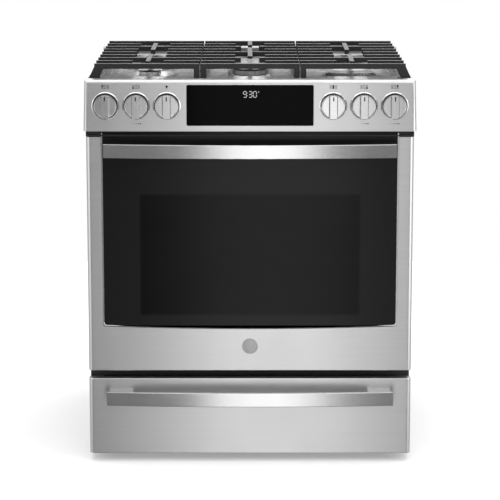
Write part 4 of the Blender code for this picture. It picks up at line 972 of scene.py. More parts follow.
@dataclass
class ControlFascia:
    """The bent steel panel with its knob wells, bezels, printed signs and display."""

    front: float = -0.345
    corner: float = 0.009
    stem_hole: float = 0.006
    bezel_radius: float = 0.032
    lip_radius: float = 0.0302
    lip_width: float = 0.0009
    well_radius: float = 0.0291
    mark_width: float = 0.0012
    sign_line: float = 0.00075
    display_gap: float = 0.0004
    display_corner: float = 0.003

    def build(self, knobs: Mapping[Site, Vector]) -> None:
        """Make the panel and everything fixed to it.

        Args:
            knobs: The middle of each knob.
        """
        low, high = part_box("control_fascia")
        self._panel(low, high, knobs)
        for site, centre in knobs.items():
            self._bezel(site, centre)
            self._sign(site, centre)
        for site in (Site.FRONT_LEFT, Site.FRONT_RIGHT, Site.REAR_RIGHT):
            self._heat_scale(site, knobs[site])

    def _panel(self, low: Vector, high: Vector, knobs: Mapping[Site, Vector]) -> None:
        """Bend the panel, narrow its top a little, and cut its openings."""
        piece = Workpiece.block(
            "control_panel", (low.x, self.front, low.z), (high.x, high.y, high.z)
        )
        narrow = (high.x - 0.0035) / high.x
        piece.faces(lambda c, n: n.z > 0.9).stretch((narrow, 1, 1), (0, 0, 0)).done()
        piece.edges(
            lambda a, b: max(a.y, b.y) < self.front + 0.001
            and min(a.z, b.z) < high.z
            and max(a.z, b.z) > high.z - 0.001
            and abs(a.x - b.x) < 0.01
            or max(a.y, b.y) < self.front + 0.001
            and min(a.z, b.z) > high.z - 0.001
        ).chamfer(self.corner, 8).done()
        holes = [
            Workpiece.rod(
                "hole", (c.x, middle(low, high).y, c.z), self.stem_hole, 0.06, Axis.Y
            )
            for c in knobs.values()
        ]
        glass_low, glass_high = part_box("display_glass")
        gap = self.display_gap
        pocket = Workpiece.block(
            "pocket",
            (glass_low.x - gap, self.front - 0.01, glass_low.z - gap),
            (glass_high.x + gap, glass_high.y + gap, glass_high.z + gap),
        )
        pocket.edges(lambda a, b: abs(a.y - b.y) > 0.005).chamfer(
            self.display_corner, 6
        ).done()
        piece.less(holes[0].join(*holes[1:]), pocket)
        edge = glass_high.x + gap

        def rim(a: Vector, b: Vector) -> bool:
            """An edge round the mouth of the display pocket."""
            flat = max(a.y, b.y) < self.front + 0.0001
            return (
                flat
                and max(abs(a.x), abs(b.x)) < edge + 0.001
                and (min(abs(a.x), abs(b.x)) > edge - 0.004 or abs(a.z - b.z) < 1e-5)
                and low.z + 0.005 < min(a.z, b.z)
                and max(a.z, b.z) < high.z - 0.0105
            )

        piece.edges(rim).chamfer(0.0009, 2).done()
        piece.smooth(30).dress(STEEL, "cabinet", "control_fascia")
        plate = Workpiece.block("display_panel", glass_low, glass_high)
        plate.edges(lambda a, b: abs(a.y - b.y) > 0.002).chamfer(
            self.display_corner, 6
        ).done()
        plate.soften(0.0003, 2).smooth(30)
        plate.dress(DISPLAY_GLASS, "cabinet", "display_glass")

    def _bezel(self, site: Site, centre: Vector) -> None:
        """Turn one bezel: a sloping flange, a bright lip and a well floored with a
        near-black disc of painted shade.
        """
        proud = self.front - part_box("control_fascia")[0].y
        name = site.value
        ring = Workpiece.rod(
            f"knob_bezel_{name}",
            (centre.x, self.front - proud / 4, centre.z),
            self.bezel_radius,
            proud / 2,
            Axis.Y,
            96,
        )
        rise = self.bezel_radius - self.lip_radius
        ring.faces(lambda c, n: n.y < -0.9)
        ring.inset(rise, proud / 2).inset(self.lip_width)
        ring.inset(self.lip_radius - self.lip_width - self.well_radius, -proud * 0.85)
        ring.done().soften(0.0003, 2, 25).smooth(25)
        ring.dress(BEZEL_STEEL, "cabinet")
        # A near-black disc on the well floor: painted shade inside the bezel.
        well = Workpiece.rod(
            f"knob_well_shade_{name}",
            (centre.x, self.front - proud * 0.12, centre.z),
            self.well_radius,
            proud * 0.1,
            Axis.Y,
            64,
        )
        well.faces(lambda c, n: n.y < -0.9).inset(0.002, -proud * 0.04).done()
        well.smooth().dress(GAP_SHADE_BLACK, "cabinet")
        top = centre.z + self.lip_radius
        mark = Workpiece.block(
            f"knob_mark_{name}",
            (centre.x - self.mark_width / 2, self.front - proud, top - 0.0023),
            (centre.x + self.mark_width / 2, self.front - proud * 0.5, top + 0.0005),
        )
        mark.faces(lambda c, n: n.y < -0.9).inset(0.0002, 0.0).done()
        mark.dress(INK, "cabinet")

    def _sign(self, site: Site, centre: Vector) -> None:
        """Print the sign over a knob: a plan of the burners, or a lamp."""
        base = centre.z + 0.0435
        if site is Site.OVEN_LIGHT:
            self._lamp_sign(centre.x, base)
            return
        places = {
            Site.REAR_LEFT: (-0.0062, 0.0024, 0.0040),
            Site.FRONT_LEFT: (-0.0062, -0.0024, 0.0040),
            Site.CENTRE: (0.0, 0.0, 0.0088),
            Site.REAR_RIGHT: (0.0062, 0.0024, 0.0040),
            Site.FRONT_RIGHT: (0.0062, -0.0024, 0.0040),
        }
        parts = [
            self._box_sign(centre.x + x, base + z, 0.0042, tall, place is site)
            for place, (x, z, tall) in places.items()
        ]
        sign = parts[0].join(*parts[1:])
        sign.thing.name = f"burner_sign_{site.value}"
        sign.dress(INK, "cabinet")

    def _box_sign(
        self, x: float, z: float, wide: float, tall: float, full: bool
    ) -> Workpiece:
        """One burner's square, filled or as an outline."""
        half = Vector((wide / 2, 0, tall / 2))
        spot = Vector((x, self.front, z))
        square = Workpiece.block("s", spot - half - Vector((0, SKIN, 0)), spot + half)
        square.faces(lambda c, n: n.y < -0.9)
        if full:
            return square.inset(0.0001).done()
        square.done()
        inner = half - Vector((self.sign_line, -0.01, self.sign_line))
        return square.less(Workpiece.block("c", spot - inner, spot + inner))

    def _lamp_sign(self, x: float, z: float) -> None:
        """A lamp seen from the side: globe, cap and four rays."""
        y = self.front - SKIN / 2
        globe = Workpiece.rod("lamp_sign", (x, y, z + 0.001), 0.0026, SKIN, Axis.Y, 32)
        globe.faces(lambda c, n: n.y < -0.9).inset(0.0004).done()
        parts = [
            Workpiece.block(
                "cap",
                (x - 0.0011, self.front - SKIN, z - 0.0032),
                (x + 0.0011, self.front, z - 0.0014),
            )
        ]
        for side in (-1, 1):
            for rise in (0.0, 0.003):
                at = Vector((x + side * 0.0048, self.front, z + 0.0005 + rise))
                reach = Vector((0.0009, 0, 0.0002))
                parts.append(
                    Workpiece.block("ray", at - reach - Vector((0, SKIN, 0)), at + reach)
                )
        globe.join(*parts).dress(INK, "cabinet")

    def _heat_scale(self, site: Site, centre: Vector) -> None:
        """A row of dots that grow from low to high heat, under a knob."""
        y = self.front - SKIN / 2
        dots = [
            Workpiece.rod(
                "dot",
                (centre.x + 0.0048 * (i - 2), y, centre.z - 0.0412),
                0.0004 + 0.00028 * i,
                SKIN,
                Axis.Y,
                20,
            )
            for i in range(5)
        ]
        row = dots[0].join(*dots[1:])
        row.thing.name = f"heat_scale_{site.value}"
        row.dress(INK, "cabinet")


@dataclass
class Clock:
    """The lit digits of the display, as seven-segment figures."""

    time: str = "9:30"
    digit_height: float = 0.0135
    digit_width: float = 0.0072
    pitch: float = 0.0104
    stroke: float = 0.0015
    centre_x: float = 0.0025
    centre_z: float = 0.8785

    SEGMENTS: ClassVar[dict[str, str]] = {
        "0": "abcdef",
        "3": "abcdg",
        "9": "abcdfg",
    }

    def build(self) -> None:
        """Set out the figures, the colon and the small sign after them."""
        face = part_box("display_glass")[0].y
        bars: list[Workpiece] = []
        x = self.centre_x - 1.35 * self.pitch
        for sign in self.time:
            if sign == ":":
                bars += self._colon(x - self.pitch * 0.42, face)
                x += self.pitch * 0.2
                continue
            bars += self._figure(sign, x, face)
            x += self.pitch
        bars += self._after_sign(x - self.pitch * 0.2, face)
        clock = bars[0].join(*bars[1:])
        clock.thing.name = "display_figures"
        clock.dress(SEGMENTS, "cabinet")

    def _bar(self, x: float, z: float, wide: float, tall: float, face: float) -> Workpiece:
        """One lit bar with cut corners."""
        bar = Workpiece.block(
            "bar",
            (x - wide / 2, face - SKIN * 0.6, z - tall / 2),
            (x + wide / 2, face + SKIN, z + tall / 2),
        )
        cut = min(wide, tall) * 0.4
        bar.edges(lambda a, b: abs(a.y - b.y) > SKIN / 2).chamfer(cut).done()
        return bar

    def _figure(self, digit: str, x: float, face: float) -> list[Workpiece]:
        """The lit segments of one figure."""
        half, quarter = self.digit_height / 2, self.digit_height / 4
        side, wide = self.digit_width / 2, self.digit_width - self.stroke * 0.9
        tall = half - self.stroke * 0.9
        shapes = {
            "a": (0.0, half, wide, self.stroke),
            "g": (0.0, 0.0, wide, self.stroke),
            "d": (0.0, -half, wide, self.stroke),
            "b": (side, quarter, self.stroke, tall),
            "c": (side, -quarter, self.stroke, tall),
            "f": (-side, quarter, self.stroke, tall),
            "e": (-side, -quarter, self.stroke, tall),
        }
        return [
            self._bar(x + dx, self.centre_z + dz, w, h, face)
            for dx, dz, w, h in (shapes[s] for s in self.SEGMENTS[digit])
        ]

    def _colon(self, x: float, face: float) -> list[Workpiece]:
        """Two small dots."""
        dot = self.stroke * 0.7
        return [
            self._bar(x, self.centre_z + rise, dot, dot, face)
            for rise in (-0.0026, 0.0026)
        ]

    def _after_sign(self, x: float, face: float) -> list[Workpiece]:
        """A small raised dash after the figures."""
        top = self.centre_z + self.digit_height / 2
        return [
            self._bar(x, top - 0.0004, 0.0030, 0.0009, face),
            self._bar(x, top - 0.0022, 0.0018, 0.0009, face),
        ]


@dataclass
class KnobSet:
    """Six knobs, each a turned cap with a full-width grip bar."""

    radius: float = 0.0266
    # Radius and depth of the near-black ring of painted shade behind each cap.
    shade_ring: tuple[float, float] = (0.0275, 0.006)
    skirt: float = 0.010
    depth: float = 0.025
    back: float = -0.3496
    grip_base: float = 0.022
    grip_face: float = 0.0155
    stem_radius: float = 0.004
    stem_end: float = -0.3226
    pointer: tuple[float, float] = (0.0028, 0.0094)

    def places(self) -> dict[Site, Vector]:
        """The middle of each knob, from its CAD node."""
        return {site: middle(*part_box(f"knob_{site.value}")) for site in Site}

    def build(self) -> None:
        """Shape one knob and copy it to every place."""
        places = self.places()
        first = places[Site.REAR_LEFT]
        cap, pointer, shade_ring = self._cap(first), self._pointer(first), self._shade_ring(first)
        for site, centre in places.items():
            node = f"knob_{site.value}"
            shift = (centre.x - first.x, 0.0, centre.z - first.z)
            cap.copy(f"knob_cap_{site.value}", shift).smooth(28).dress(
                KNOB_STEEL, node, node
            )
            pointer.copy(f"knob_pointer_{site.value}", shift).dress(INK, node)
            # Each cap gets a near-black ring of painted shade behind it.
            shade_ring.copy(f"knob_shade_ring_{site.value}", shift).smooth(28).dress(
                GAP_SHADE_BLACK, node
            )
        for piece in (cap, pointer, shade_ring):
            bpy.data.objects.remove(piece.thing)

    def _cap(self, at: Vector) -> Workpiece:
        """Turn the cap, then raise a tapered grip bar that follows its rim."""
        face = self.back - self.skirt
        cap = Workpiece.rod(
            "cap", (at.x, self.back - self.skirt / 2, at.z), self.radius, self.skirt,
            Axis.Y, 96,
        )
        cap.faces(lambda c, n: n.y < -0.9).inset(0.0010, 0.0).inset(0.0012, -0.0012)
        cap.done()
        front = self.back - self.depth
        grip = Workpiece.block(
            "grip",
            (at.x - self.grip_base / 2, front, at.z - self.radius),
            (at.x + self.grip_base / 2, face + 0.004, at.z + self.radius),
        )
        squeeze = self.grip_face / self.grip_base
        grip.faces(lambda c, n: n.y < -0.9).stretch((squeeze, 1, 0.975), at).done()
        grip.combine(
            "INTERSECT",
            Workpiece.rod("round", at, self.radius - 0.0004, 0.08, Axis.Y, 96),
        )
        stem = Workpiece.rod(
            "stem", (at.x, (self.back + self.stem_end) / 2, at.z), self.stem_radius,
            self.stem_end - self.back + 0.002, Axis.Y, 32,
        )
        stem.faces(lambda c, n: n.y > 0.9).inset(0.0006, 0.0).done()
        cap.combine("UNION", grip, stem)
        return cap.soften(0.0005, 2, 30)

    def _shade_ring(self, at: Vector) -> Workpiece:
        """The near-black ring behind the cap: painted shade that fills the gap to the
        bezel.
        """
        radius, deep = self.shade_ring
        ring = Workpiece.rod(
            "shade_ring", (at.x, self.back - deep / 2, at.z), radius, deep, Axis.Y, 96
        )
        ring.faces(lambda c, n: n.y < -0.9).inset(0.0003, 0.0).inset(0.0003, -0.0003)
        return ring.done()

    def _pointer(self, at: Vector) -> Workpiece:
        """The black line at the top of the grip's face."""
        wide, tall = self.pointer
        front = self.back - self.depth
        top = at.z + self.radius - 0.0032
        line = Workpiece.block(
            "line",
            (at.x - wide / 2, front - SKIN / 2, top - tall),
            (at.x + wide / 2, front + SKIN, top),
        )
        line.edges(lambda a, b: abs(a.y - b.y) > SKIN).chamfer(0.0003, 2)
        return line.done()


@dataclass
class PullHandle:
    """A flat steel bar, bowed outwards, on two end brackets."""

    node: str
    body: str
    bow: float
    thickness: float = 0.009
    edge: float = 0.0016
    bracket: float = 0.056
    tuck: float = 0.004
    steps: int = 72

    def build(self) -> None:
        """Sweep the bar on its bow and set the brackets behind it."""
        low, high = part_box(self.node)
        half = high.x
        rise = self.bow
        radius = (half**2 + rise**2) / (2 * rise)
        bar = self._bar(low, high, half, radius)
        bar.dress(HANDLE_STEEL, self.body, self.node)
        inner = half - self.tuck - self.bracket
        back = low.y + self.thickness
        drop = radius - math.sqrt(radius**2 - half**2)
        bracket = Workpiece.block(
            f"{self.node}_bracket_right",
            (inner, back + drop * 0.62, low.z + self.tuck),
            (half - self.tuck, high.y, high.z - self.tuck),
        )
        bracket.faces(lambda c, n: n.y < -0.9).stretch(
            (0.97, 1, 0.97), middle((inner, low.y, low.z), (half, high.y, high.z))
        ).done()
        bracket.soften(0.0018, 3).smooth(30)
        bracket.mirrored(f"{self.node}_bracket_left").smooth(30).dress(
            HANDLE_STEEL, self.body
        )
        bracket.dress(HANDLE_STEEL, self.body)

    def _bar(self, low: Vector, high: Vector, half: float, radius: float) -> Workpiece:
        """Spin the bar's section round the far centre of its bow."""
        centre = (0.0, low.y + radius, 0.0)
        turn = math.asin(half / radius)
        section = Workpiece.block(
            f"{self.node}_bar",
            (-0.0005, low.y, low.z),
            (0.0005, low.y + self.thickness, high.z),
        )
        section.edges(lambda a, b: abs(a.x - b.x) > 0.0005).chamfer(self.edge, 3)
        section.done().faces(lambda c, n: abs(n.x) < 0.9 or n.x < 0)
        bpy.ops.mesh.delete(type="FACE")
        section.done().faces(lambda c, n: True)
        bpy.ops.transform.translate(value=(-0.0005, 0, 0))
        bpy.ops.transform.rotate(value=-turn, orient_axis="Z", center_override=centre)
        bpy.ops.mesh.spin(
            steps=self.steps, angle=2 * turn, center=centre, axis=(0, 0, 1)
        )
        section.done()
        self._close(section, half)
        return section.outward().smooth(30)

    def _close(self, bar: Workpiece, half: float) -> None:
        """Close the ends of the bar, and keep it inside its half length."""
        bar.faces(lambda c, n: True)
        bpy.ops.mesh.remove_doubles(threshold=0.000005)
        bpy.ops.mesh.select_mode(type="EDGE")
        bpy.ops.mesh.select_all(action="DESELECT")
        bpy.ops.mesh.select_non_manifold()
        bpy.ops.mesh.edge_face_add()
        bar.done()
        reach = max(abs(v.co.x) for v in bar.thing.data.vertices)
        if reach > half:
            bar.faces(lambda c, n: True)
            bar.stretch((half / reach, 1, 1), (0, 0, 0)).done()


@dataclass
class OvenDoor:
    """The steel door skin, its bright-edged glass, badge, handle and inner parts."""

    corner: float = 0.010
    rim: float = 0.0032
    glass_bow: float = 0.0068
    window: tuple[float, float, float] = (0.2562, 0.3563, 0.6422)
    body: str = "oven_door"
    dressed: dict[str, Finish] = field(
        default_factory=lambda: {
            "door_liner": ENAMEL,
            "door_window": WINDOW,
            "hinge_arm_left": FRAME_STEEL,
            "hinge_arm_right": FRAME_STEEL,
        }
    )

    def build(self) -> None:
        """Make the door from skin to badge."""
        self._skin()
        self._glass()
        self._badge()
        PullHandle("door_handle", self.body, bow=0.018).build()

    def _bowed(self, name: str, low: Vector, high: Vector, depth: tuple[float, float],
               spare: float) -> Workpiece:
        """A plate whose lower edge bows down in the middle.

        Args:
            name: The plate's name.
            low: The glass's lowest corner.
            high: The glass's highest corner.
            depth: Its front and back along Y.
            spare: How far it stands past the glass at the sides and the bottom.

        Returns:
            The plate.
        """
        plate = Workpiece.block(
            name,
            (low.x - spare, depth[0], low.z - spare),
            (high.x + spare, depth[1], high.z + (0.01 if spare else 0.0)),
        )
        radius = (high.x**2 + self.glass_bow**2) / (2 * self.glass_bow)
        plate.combine(
            "INTERSECT",
            Workpiece.rod(
                "sweep",
                (0, middle((0, depth[0], 0), (0, depth[1], 0)).y, low.z - spare + radius),
                radius,
                0.1,
                Axis.Y,
                2880,
            ),
        )
        bottom = low.z + self.glass_bow + 0.002
        plate.edges(
            lambda a, b: abs(a.y - b.y) > 0.002
            and min(abs(a.x), abs(b.x)) > high.x + spare - 0.0005
            and max(a.z, b.z) < bottom
        ).chamfer(0.008, 6)
        return plate.done()

    def _skin(self) -> None:
        """Press the skin, cut the glass pocket and give it a bright sloping rim."""
        low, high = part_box("door_skin")
        glass_low, glass_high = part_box("door_glass")
        skin = Workpiece.block("door_panel", low, high)
        skin.edges(
            lambda a, b: abs(a.z - b.z) > 0.1 and max(a.y, b.y) < low.y + 0.001
        ).chamfer(self.corner, 10).done()
        skin.edges(
            lambda a, b: max(a.z, b.z) < low.z + 0.0005
            and max(a.y, b.y) < high.y - 0.001
        ).chamfer(0.0015, 3).done()
        skin.less(
            self._bowed(
                "pocket", glass_low, glass_high, (low.y - 0.01, glass_high.y + 0.0004),
                0.0004,
            )
        )
        skin.smooth(30).dress(STEEL, self.body, "door_skin")
        frame = self._bowed(
            "door_glass_rim", glass_low, glass_high, (low.y, low.y + 0.0022), -0.0004
        )
        frame.less(
            self._bowed(
                "inner",
                Vector((glass_low.x + self.rim, 0, glass_low.z + self.rim)),
                Vector((glass_high.x - self.rim, 0, glass_high.z)),
                (low.y - 0.01, low.y + 0.01),
                0.0001,
            )
        )
        frame.edges(
            lambda a, b: max(a.y, b.y) < low.y + 0.0001
            and max(abs(a.x), abs(b.x)) < glass_high.x - self.rim + 0.0006
            and max(a.z, b.z) < high.z - 0.0002
        ).chamfer(0.0016, 3).done()
        frame.smooth(40).dress(TRIM_STEEL, self.body)

    def _glass(self) -> None:
        """Cut the glass to the bowed outline, just behind its rim."""
        low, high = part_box("door_glass")
        glass = self._bowed("door_front_glass", low, high, (low.y + 0.0009, high.y), -0.001)
        glass.soften(0.0003, 2, 60).smooth(25)
        finish = BlackGlass("door_black_glass", "black_glass", window=self.window)
        glass.dress(finish, self.body, "door_glass")

    def _badge(self) -> None:
        """Turn a plain round badge with a domed face inside a lip."""
        low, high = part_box("door_badge")
        radius = (high.x - low.x) / 2
        spot = middle(low, high)
        depth = high.y - low.y
        badge = Workpiece.rod(
            "door_badge_disc", (0, high.y - depth * 0.3, spot.z), radius, depth * 0.6,
            Axis.Y, 96,
        )
        badge.faces(lambda c, n: n.y < -0.9)
        badge.inset(0.0008, depth * 0.4).inset(0.0009).inset(0.0005, -depth * 0.3)
        badge.inset(radius * 0.25, depth * 0.14).inset(radius * 0.28, depth * 0.09)
        badge.done().smooth(30)
        badge.dress(BADGE_METAL, self.body, "door_badge")


@dataclass
class StorageDrawer:
    """The drawer's steel front and its handle; the box behind is carried over."""

    corner: float = 0.010
    body: str = "storage_drawer"
    dressed: dict[str, Finish] = field(
        default_factory=lambda: {"drawer_box": ZINC}
    )

    def build(self) -> None:
        """Make the front and hang its handle."""
        low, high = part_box("drawer_front")
        front = Workpiece.block("drawer_panel", low, high)
        front.edges(
            lambda a, b: abs(a.z - b.z) > 0.1 and max(a.y, b.y) < low.y + 0.001
        ).chamfer(self.corner, 10).done()
        front.edges(
            lambda a, b: min(a.z, b.z) > high.z - 0.0005
            and max(a.y, b.y) < high.y - 0.001
        ).chamfer(0.0032, 3).done()
        front.edges(
            lambda a, b: max(a.z, b.z) < low.z + 0.0005
            and max(a.y, b.y) < high.y - 0.001
        ).chamfer(0.0015, 3).done()
        front.faces(lambda c, n: n.y > 0.9).inset(0.0015).inset(0.001, -0.012).done()
        front.smooth(30).dress(STEEL, self.body, "drawer_front")
        PullHandle("drawer_handle", self.body, bow=0.013).build()


@dataclass
class Cooktop:
    """The pressed steel cooktop pan with its dished burner places, and the trims."""

    shoulder: float = 0.014
    recess_corner: float = 0.022
    slope: float = 0.012
    floor: float = 0.890
    recess_x: float = 0.352
    recess_y: tuple[float, float] = (-0.2362, 0.2747)
    plateau: tuple[float, float, float] = (0.088, 0.074, 0.007)
    hole: float = 0.0163
    slots: int = 5
    slot_size: tuple[float, float] = (0.060, 0.010)
    slot_pitch: float = 0.080

    def build(self, burners: Sequence["RoundBurner"]) -> None:
        """Make the pan, the rear trim and the strip under the fascia."""
        self._pan(burners)
        self._rear_trim()
        self._strip()

    def _pan(self, burners: Sequence["RoundBurner"]) -> None:
        """Sink the pan's well, round its corners and raise the burner places."""
        low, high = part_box("cooktop_pan")
        pan = Workpiece.block("cooktop_panel", low, high)
        pan.edges(lambda a, b: abs(a.z - b.z) > 0.005).chamfer(0.008, 5).done()
        pan.edges(lambda a, b: min(a.z, b.z) > high.z - 0.0005).chamfer(
            self.shoulder / 2, 6
        ).done()
        front, back = self.recess_y
        deep = high.z - self.floor
        reach = self.recess_x
        well = Workpiece.block(
            "well", (-reach, front, self.floor), (reach, back, high.z + deep)
        )
        well.edges(lambda a, b: abs(a.z - b.z) > 0.005).chamfer(
            self.recess_corner, 8
        ).done()
        well.faces(lambda c, n: n.z < -0.9).stretch(
            (1 - self.slope / reach, 1 - self.slope * 2 / (back - front), 1),
            (0, (front + back) / 2, self.floor),
        )
        pan.less(well)
        self._raise(pan, burners)
        pan.soften(0.0012, 3, 30).smooth(30).dress(PAN_STEEL, "cabinet", "cooktop_pan")

    def _raise(self, pan: Workpiece, burners: Sequence["RoundBurner"]) -> None:
        """Add the low round places that the burners stand on."""
        wide, narrow, tall = self.plateau
        for burner in burners:
            x, y = burner.spot()
            disc = Workpiece.rod(
                "place", (x, y, self.floor + tall / 2 - 0.0005), wide, tall + 0.001
            )
            disc.faces(lambda c, n: n.z > 0.9).stretch(
                (narrow / wide, narrow / wide, 1), (x, y, 0)
            ).done()
            pan.combine("UNION", disc)
        low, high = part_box("burner_base_centre")
        oval = Workpiece.block(
            "oval_place",
            (low.x - 0.02, low.y - 0.02, self.floor - 0.001),
            (high.x + 0.02, high.y + 0.02, self.floor + tall),
        )
        oval.edges(lambda a, b: abs(a.z - b.z) > 0.005).chamfer(
            (high.x - low.x) / 2 + 0.0195, 14
        ).done()
        oval.faces(lambda c, n: n.z > 0.9).stretch((0.8, 0.95, 1), middle(low, high))
        pan.combine("UNION", oval)

    def _rear_trim(self) -> None:
        """The low rear rail with its row of oven vent slots."""
        low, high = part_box("rear_vent_trim")
        trim = Workpiece.block("rear_trim_rail", low, high)
        wide, deep = self.slot_size
        y = middle(low, high).y
        cutters = []
        for i in range(self.slots):
            x = (i - (self.slots - 1) / 2) * self.slot_pitch
            slot = Workpiece.block(
                "slot",
                (x - wide / 2, y - deep / 2, low.z - 0.01),
                (x + wide / 2, y + deep / 2, high.z + 0.01),
            )
            slot.edges(lambda a, b: abs(a.z - b.z) > 0.01).chamfer(deep * 0.49, 6)
            cutters.append(slot.done())
        trim.edges(
            lambda a, b: min(a.z, b.z) > high.z - 0.0005 and abs(a.x - b.x) > 0.1
        ).chamfer(0.005, 5).done()
        trim.less(cutters[0].join(*cutters[1:]))
        trim.soften(0.0010, 2, 40).smooth(30)
        trim.dress(PAN_STEEL, "cabinet", "rear_vent_trim")

    def _strip(self) -> None:
        """The black strip over the door, with a long air groove."""
        low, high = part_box("door_vent_strip")
        strip = Workpiece.block("door_top_strip", low, high)
        strip.faces(lambda c, n: n.y < -0.9).inset(0.004).inset(0.0008, -0.003).done()
        strip.soften(0.0007, 2, 40).smooth(30)
        strip.dress(STRIP_PAINT, "cabinet", "door_vent_strip")


@dataclass
class RoundBurner:
    """A burner head with flame ports, its enamelled cap and its igniter."""

    site: str
    ports: int
    pale_cap: bool = False

    def spot(self) -> tuple[float, float]:
        """The burner's middle in plan."""
        centre = middle(*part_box(f"burner_cap_{self.site}"))
        return centre.x, centre.y

    def build(self) -> None:
        """Make head, cap and igniter."""
        x, y = self.spot()
        low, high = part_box(f"burner_base_{self.site}")
        cap_low, cap_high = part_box(f"burner_cap_{self.site}")
        dish = (high.x - low.x) / 2
        radius = (cap_high.x - cap_low.x) / 2
        head = min(radius - 0.0015, dish)
        seat = high.z - 0.010
        base = Workpiece.rod(
            f"burner_head_{self.site}", (x, y, seat + 0.0015), dish, 0.003, sides=96
        )
        base.faces(lambda c, n: n.z > 0.9).inset(max(dish - head - 0.003, 0.001), 0.0)
        base.inset(0.0025, 0.0012).extrude((0, 0, high.z - seat - 0.0042))
        base.done()
        throat = Workpiece.rod(
            "throat", (x, y, (low.z + seat) / 2 + 0.0005), 0.016, seat - low.z + 0.001
        )
        throat.faces(lambda c, n: n.z < -0.9).inset(0.003).inset(0.0005, -0.012).done()
        base.combine("UNION", throat)
        base.less(self._port_cutters(x, y, head, high.z))
        base.soften(0.0003, 2, 35).smooth(30)
        finish = BRIGHT_DISH if dish > radius * 1.5 else ALUMINIUM
        base.dress(finish, "cabinet", f"burner_base_{self.site}")
        self._cap(x, y, radius, cap_low.z, cap_high.z)
        self._igniter(x, y, max(head, radius) + 0.005, seat, cap_high.z)

    def _port_cutters(self, x: float, y: float, head: float, top: float) -> Workpiece:
        """Thin blades, set out as a star, that cut the flame ports."""
        first = Workpiece.block(
            "port",
            (x + head * 0.72, y - 0.0008, top - 0.0048),
            (x + head + 0.004, y + 0.0008, top - 0.0012),
        )
        blades = []
        for i in range(1, self.ports):
            blade = first.copy(f"port_{i}")
            blade.faces(lambda c, n: True)
            bpy.ops.transform.rotate(
                value=2 * math.pi * i / self.ports,
                orient_axis="Z",
                center_override=(x, y, top),
            )
            blades.append(blade.done())
        return first.join(*blades)

    def _cap(self, x: float, y: float, radius: float, low: float, high: float) -> None:
        """Turn the cap with a rolled rim and a slightly dished top."""
        cap = Workpiece.rod(
            f"burner_lid_{self.site}", (x, y, (low + high) / 2), radius, high - low,
            sides=96,
        )
        cap.edges(lambda a, b: min(a.z, b.z) > high - 0.0005).chamfer(0.0024, 5).done()
        cap.faces(lambda c, n: n.z > 0.9).inset(0.0035).inset(0.0015, -0.0007)
        cap.inset(radius * 0.4, 0.0004).done()
        finish = ALUMINIUM if self.pale_cap else CAP_IRON
        cap.smooth(30).dress(finish, "cabinet", f"burner_cap_{self.site}")

    def _igniter(self, x: float, y: float, reach: float, seat: float, top: float) -> None:
        """A white ceramic pin with a steel tip beside the head."""
        side = -1 if x > 0 else 1
        spot = (x + side * reach * 0.8, y + reach * 0.6)
        pin = Workpiece.rod(
            f"igniter_pin_{self.site}", (*spot, seat + 0.004), 0.0026, 0.008, sides=24
        )
        pin.faces(lambda c, n: n.z > 0.9).inset(0.0006, 0.0006).done()
        pin.smooth().dress(CERAMIC, "cabinet")
        tip = Workpiece.rod(
            f"igniter_tip_{self.site}", (*spot, (seat + 0.008 + top) / 2), 0.0008,
            top - seat - 0.008, sides=16,
        )
        tip.faces(lambda c, n: n.z > 0.9).inset(0.0003, 0.0003).done()
        tip.smooth().dress(CHROME, "cabinet")


@dataclass
class OvalBurner:
    """The long centre burner."""

    ports: int = 17
    lid_edge: float = 0.0022

    def build(self) -> None:
        """Make its head with side ports, and its long cap."""
        low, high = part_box("burner_base_centre")
        head = self._stadium("burner_head_centre", low, high, high.z - 0.010, high.z)
        blades = []
        step = (high.y - low.y - 0.08) / (self.ports - 1)
        for i in range(self.ports):
            y = low.y + 0.04 + step * i
            blades.append(
                Workpiece.block(
                    "port", (low.x - 0.004, y - 0.0013, high.z - 0.0055),
                    (low.x + 0.010, y + 0.0013, high.z - 0.0015),
                )
            )
        right = [
            blade.copy("port_right", (high.x - low.x - 0.006, 0, 0)) for blade in blades
        ]
        head.less(blades[0].join(*blades[1:], *right))
        throat = Workpiece.rod(
            "throat", (0, middle(low, high).y, (low.z + high.z) / 2 - 0.004), 0.016,
            high.z - low.z - 0.008,
        )
        throat.faces(lambda c, n: n.z < -0.9).inset(0.003).inset(0.0005, -0.012).done()
        head.combine("UNION", throat).soften(0.0004, 2, 35).smooth(30)
        head.dress(ALUMINIUM, "cabinet", "burner_base_centre")
        low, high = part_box("burner_cap_centre")
        lid = self._stadium("burner_lid_centre", low, high, low.z, high.z)
        lid.edges(lambda a, b: min(a.z, b.z) > high.z - 0.0005).chamfer(
            self.lid_edge, 5
        ).done()
        lid.faces(lambda c, n: n.z > 0.9).inset(0.003).inset(0.0015, -0.0006).done()
        lid.smooth(30).dress(CAP_IRON, "cabinet", "burner_cap_centre")

    def _stadium(
        self, name: str, low: Vector, high: Vector, bottom: float, top: float
    ) -> Workpiece:
        """A block whose ends are full rounds."""
        piece = Workpiece.block(name, (low.x, low.y, bottom), (high.x, high.y, top))
        piece.edges(lambda a, b: abs(a.z - b.z) > 0.003).chamfer(
            (high.x - low.x) / 2 - 0.0002, 16
        )
        return piece.done()


@dataclass
class Grates:
    """Three cast grates, eased on every edge as castings are."""

    nodes: tuple[str, ...] = ("grate_left", "grate_centre", "grate_right")
    easing: float = 0.0018

    def build(self, nodes: Mapping[str, bpy.types.Object]) -> None:
        """Cast each grate from its CAD shape and round its edges."""
        for name in self.nodes:
            casting = Workpiece.from_node(f"{name}_casting", nodes[name])
            casting.soften(self.easing, 2, 30).smooth(40)
            casting.dress(IRON, name, name)


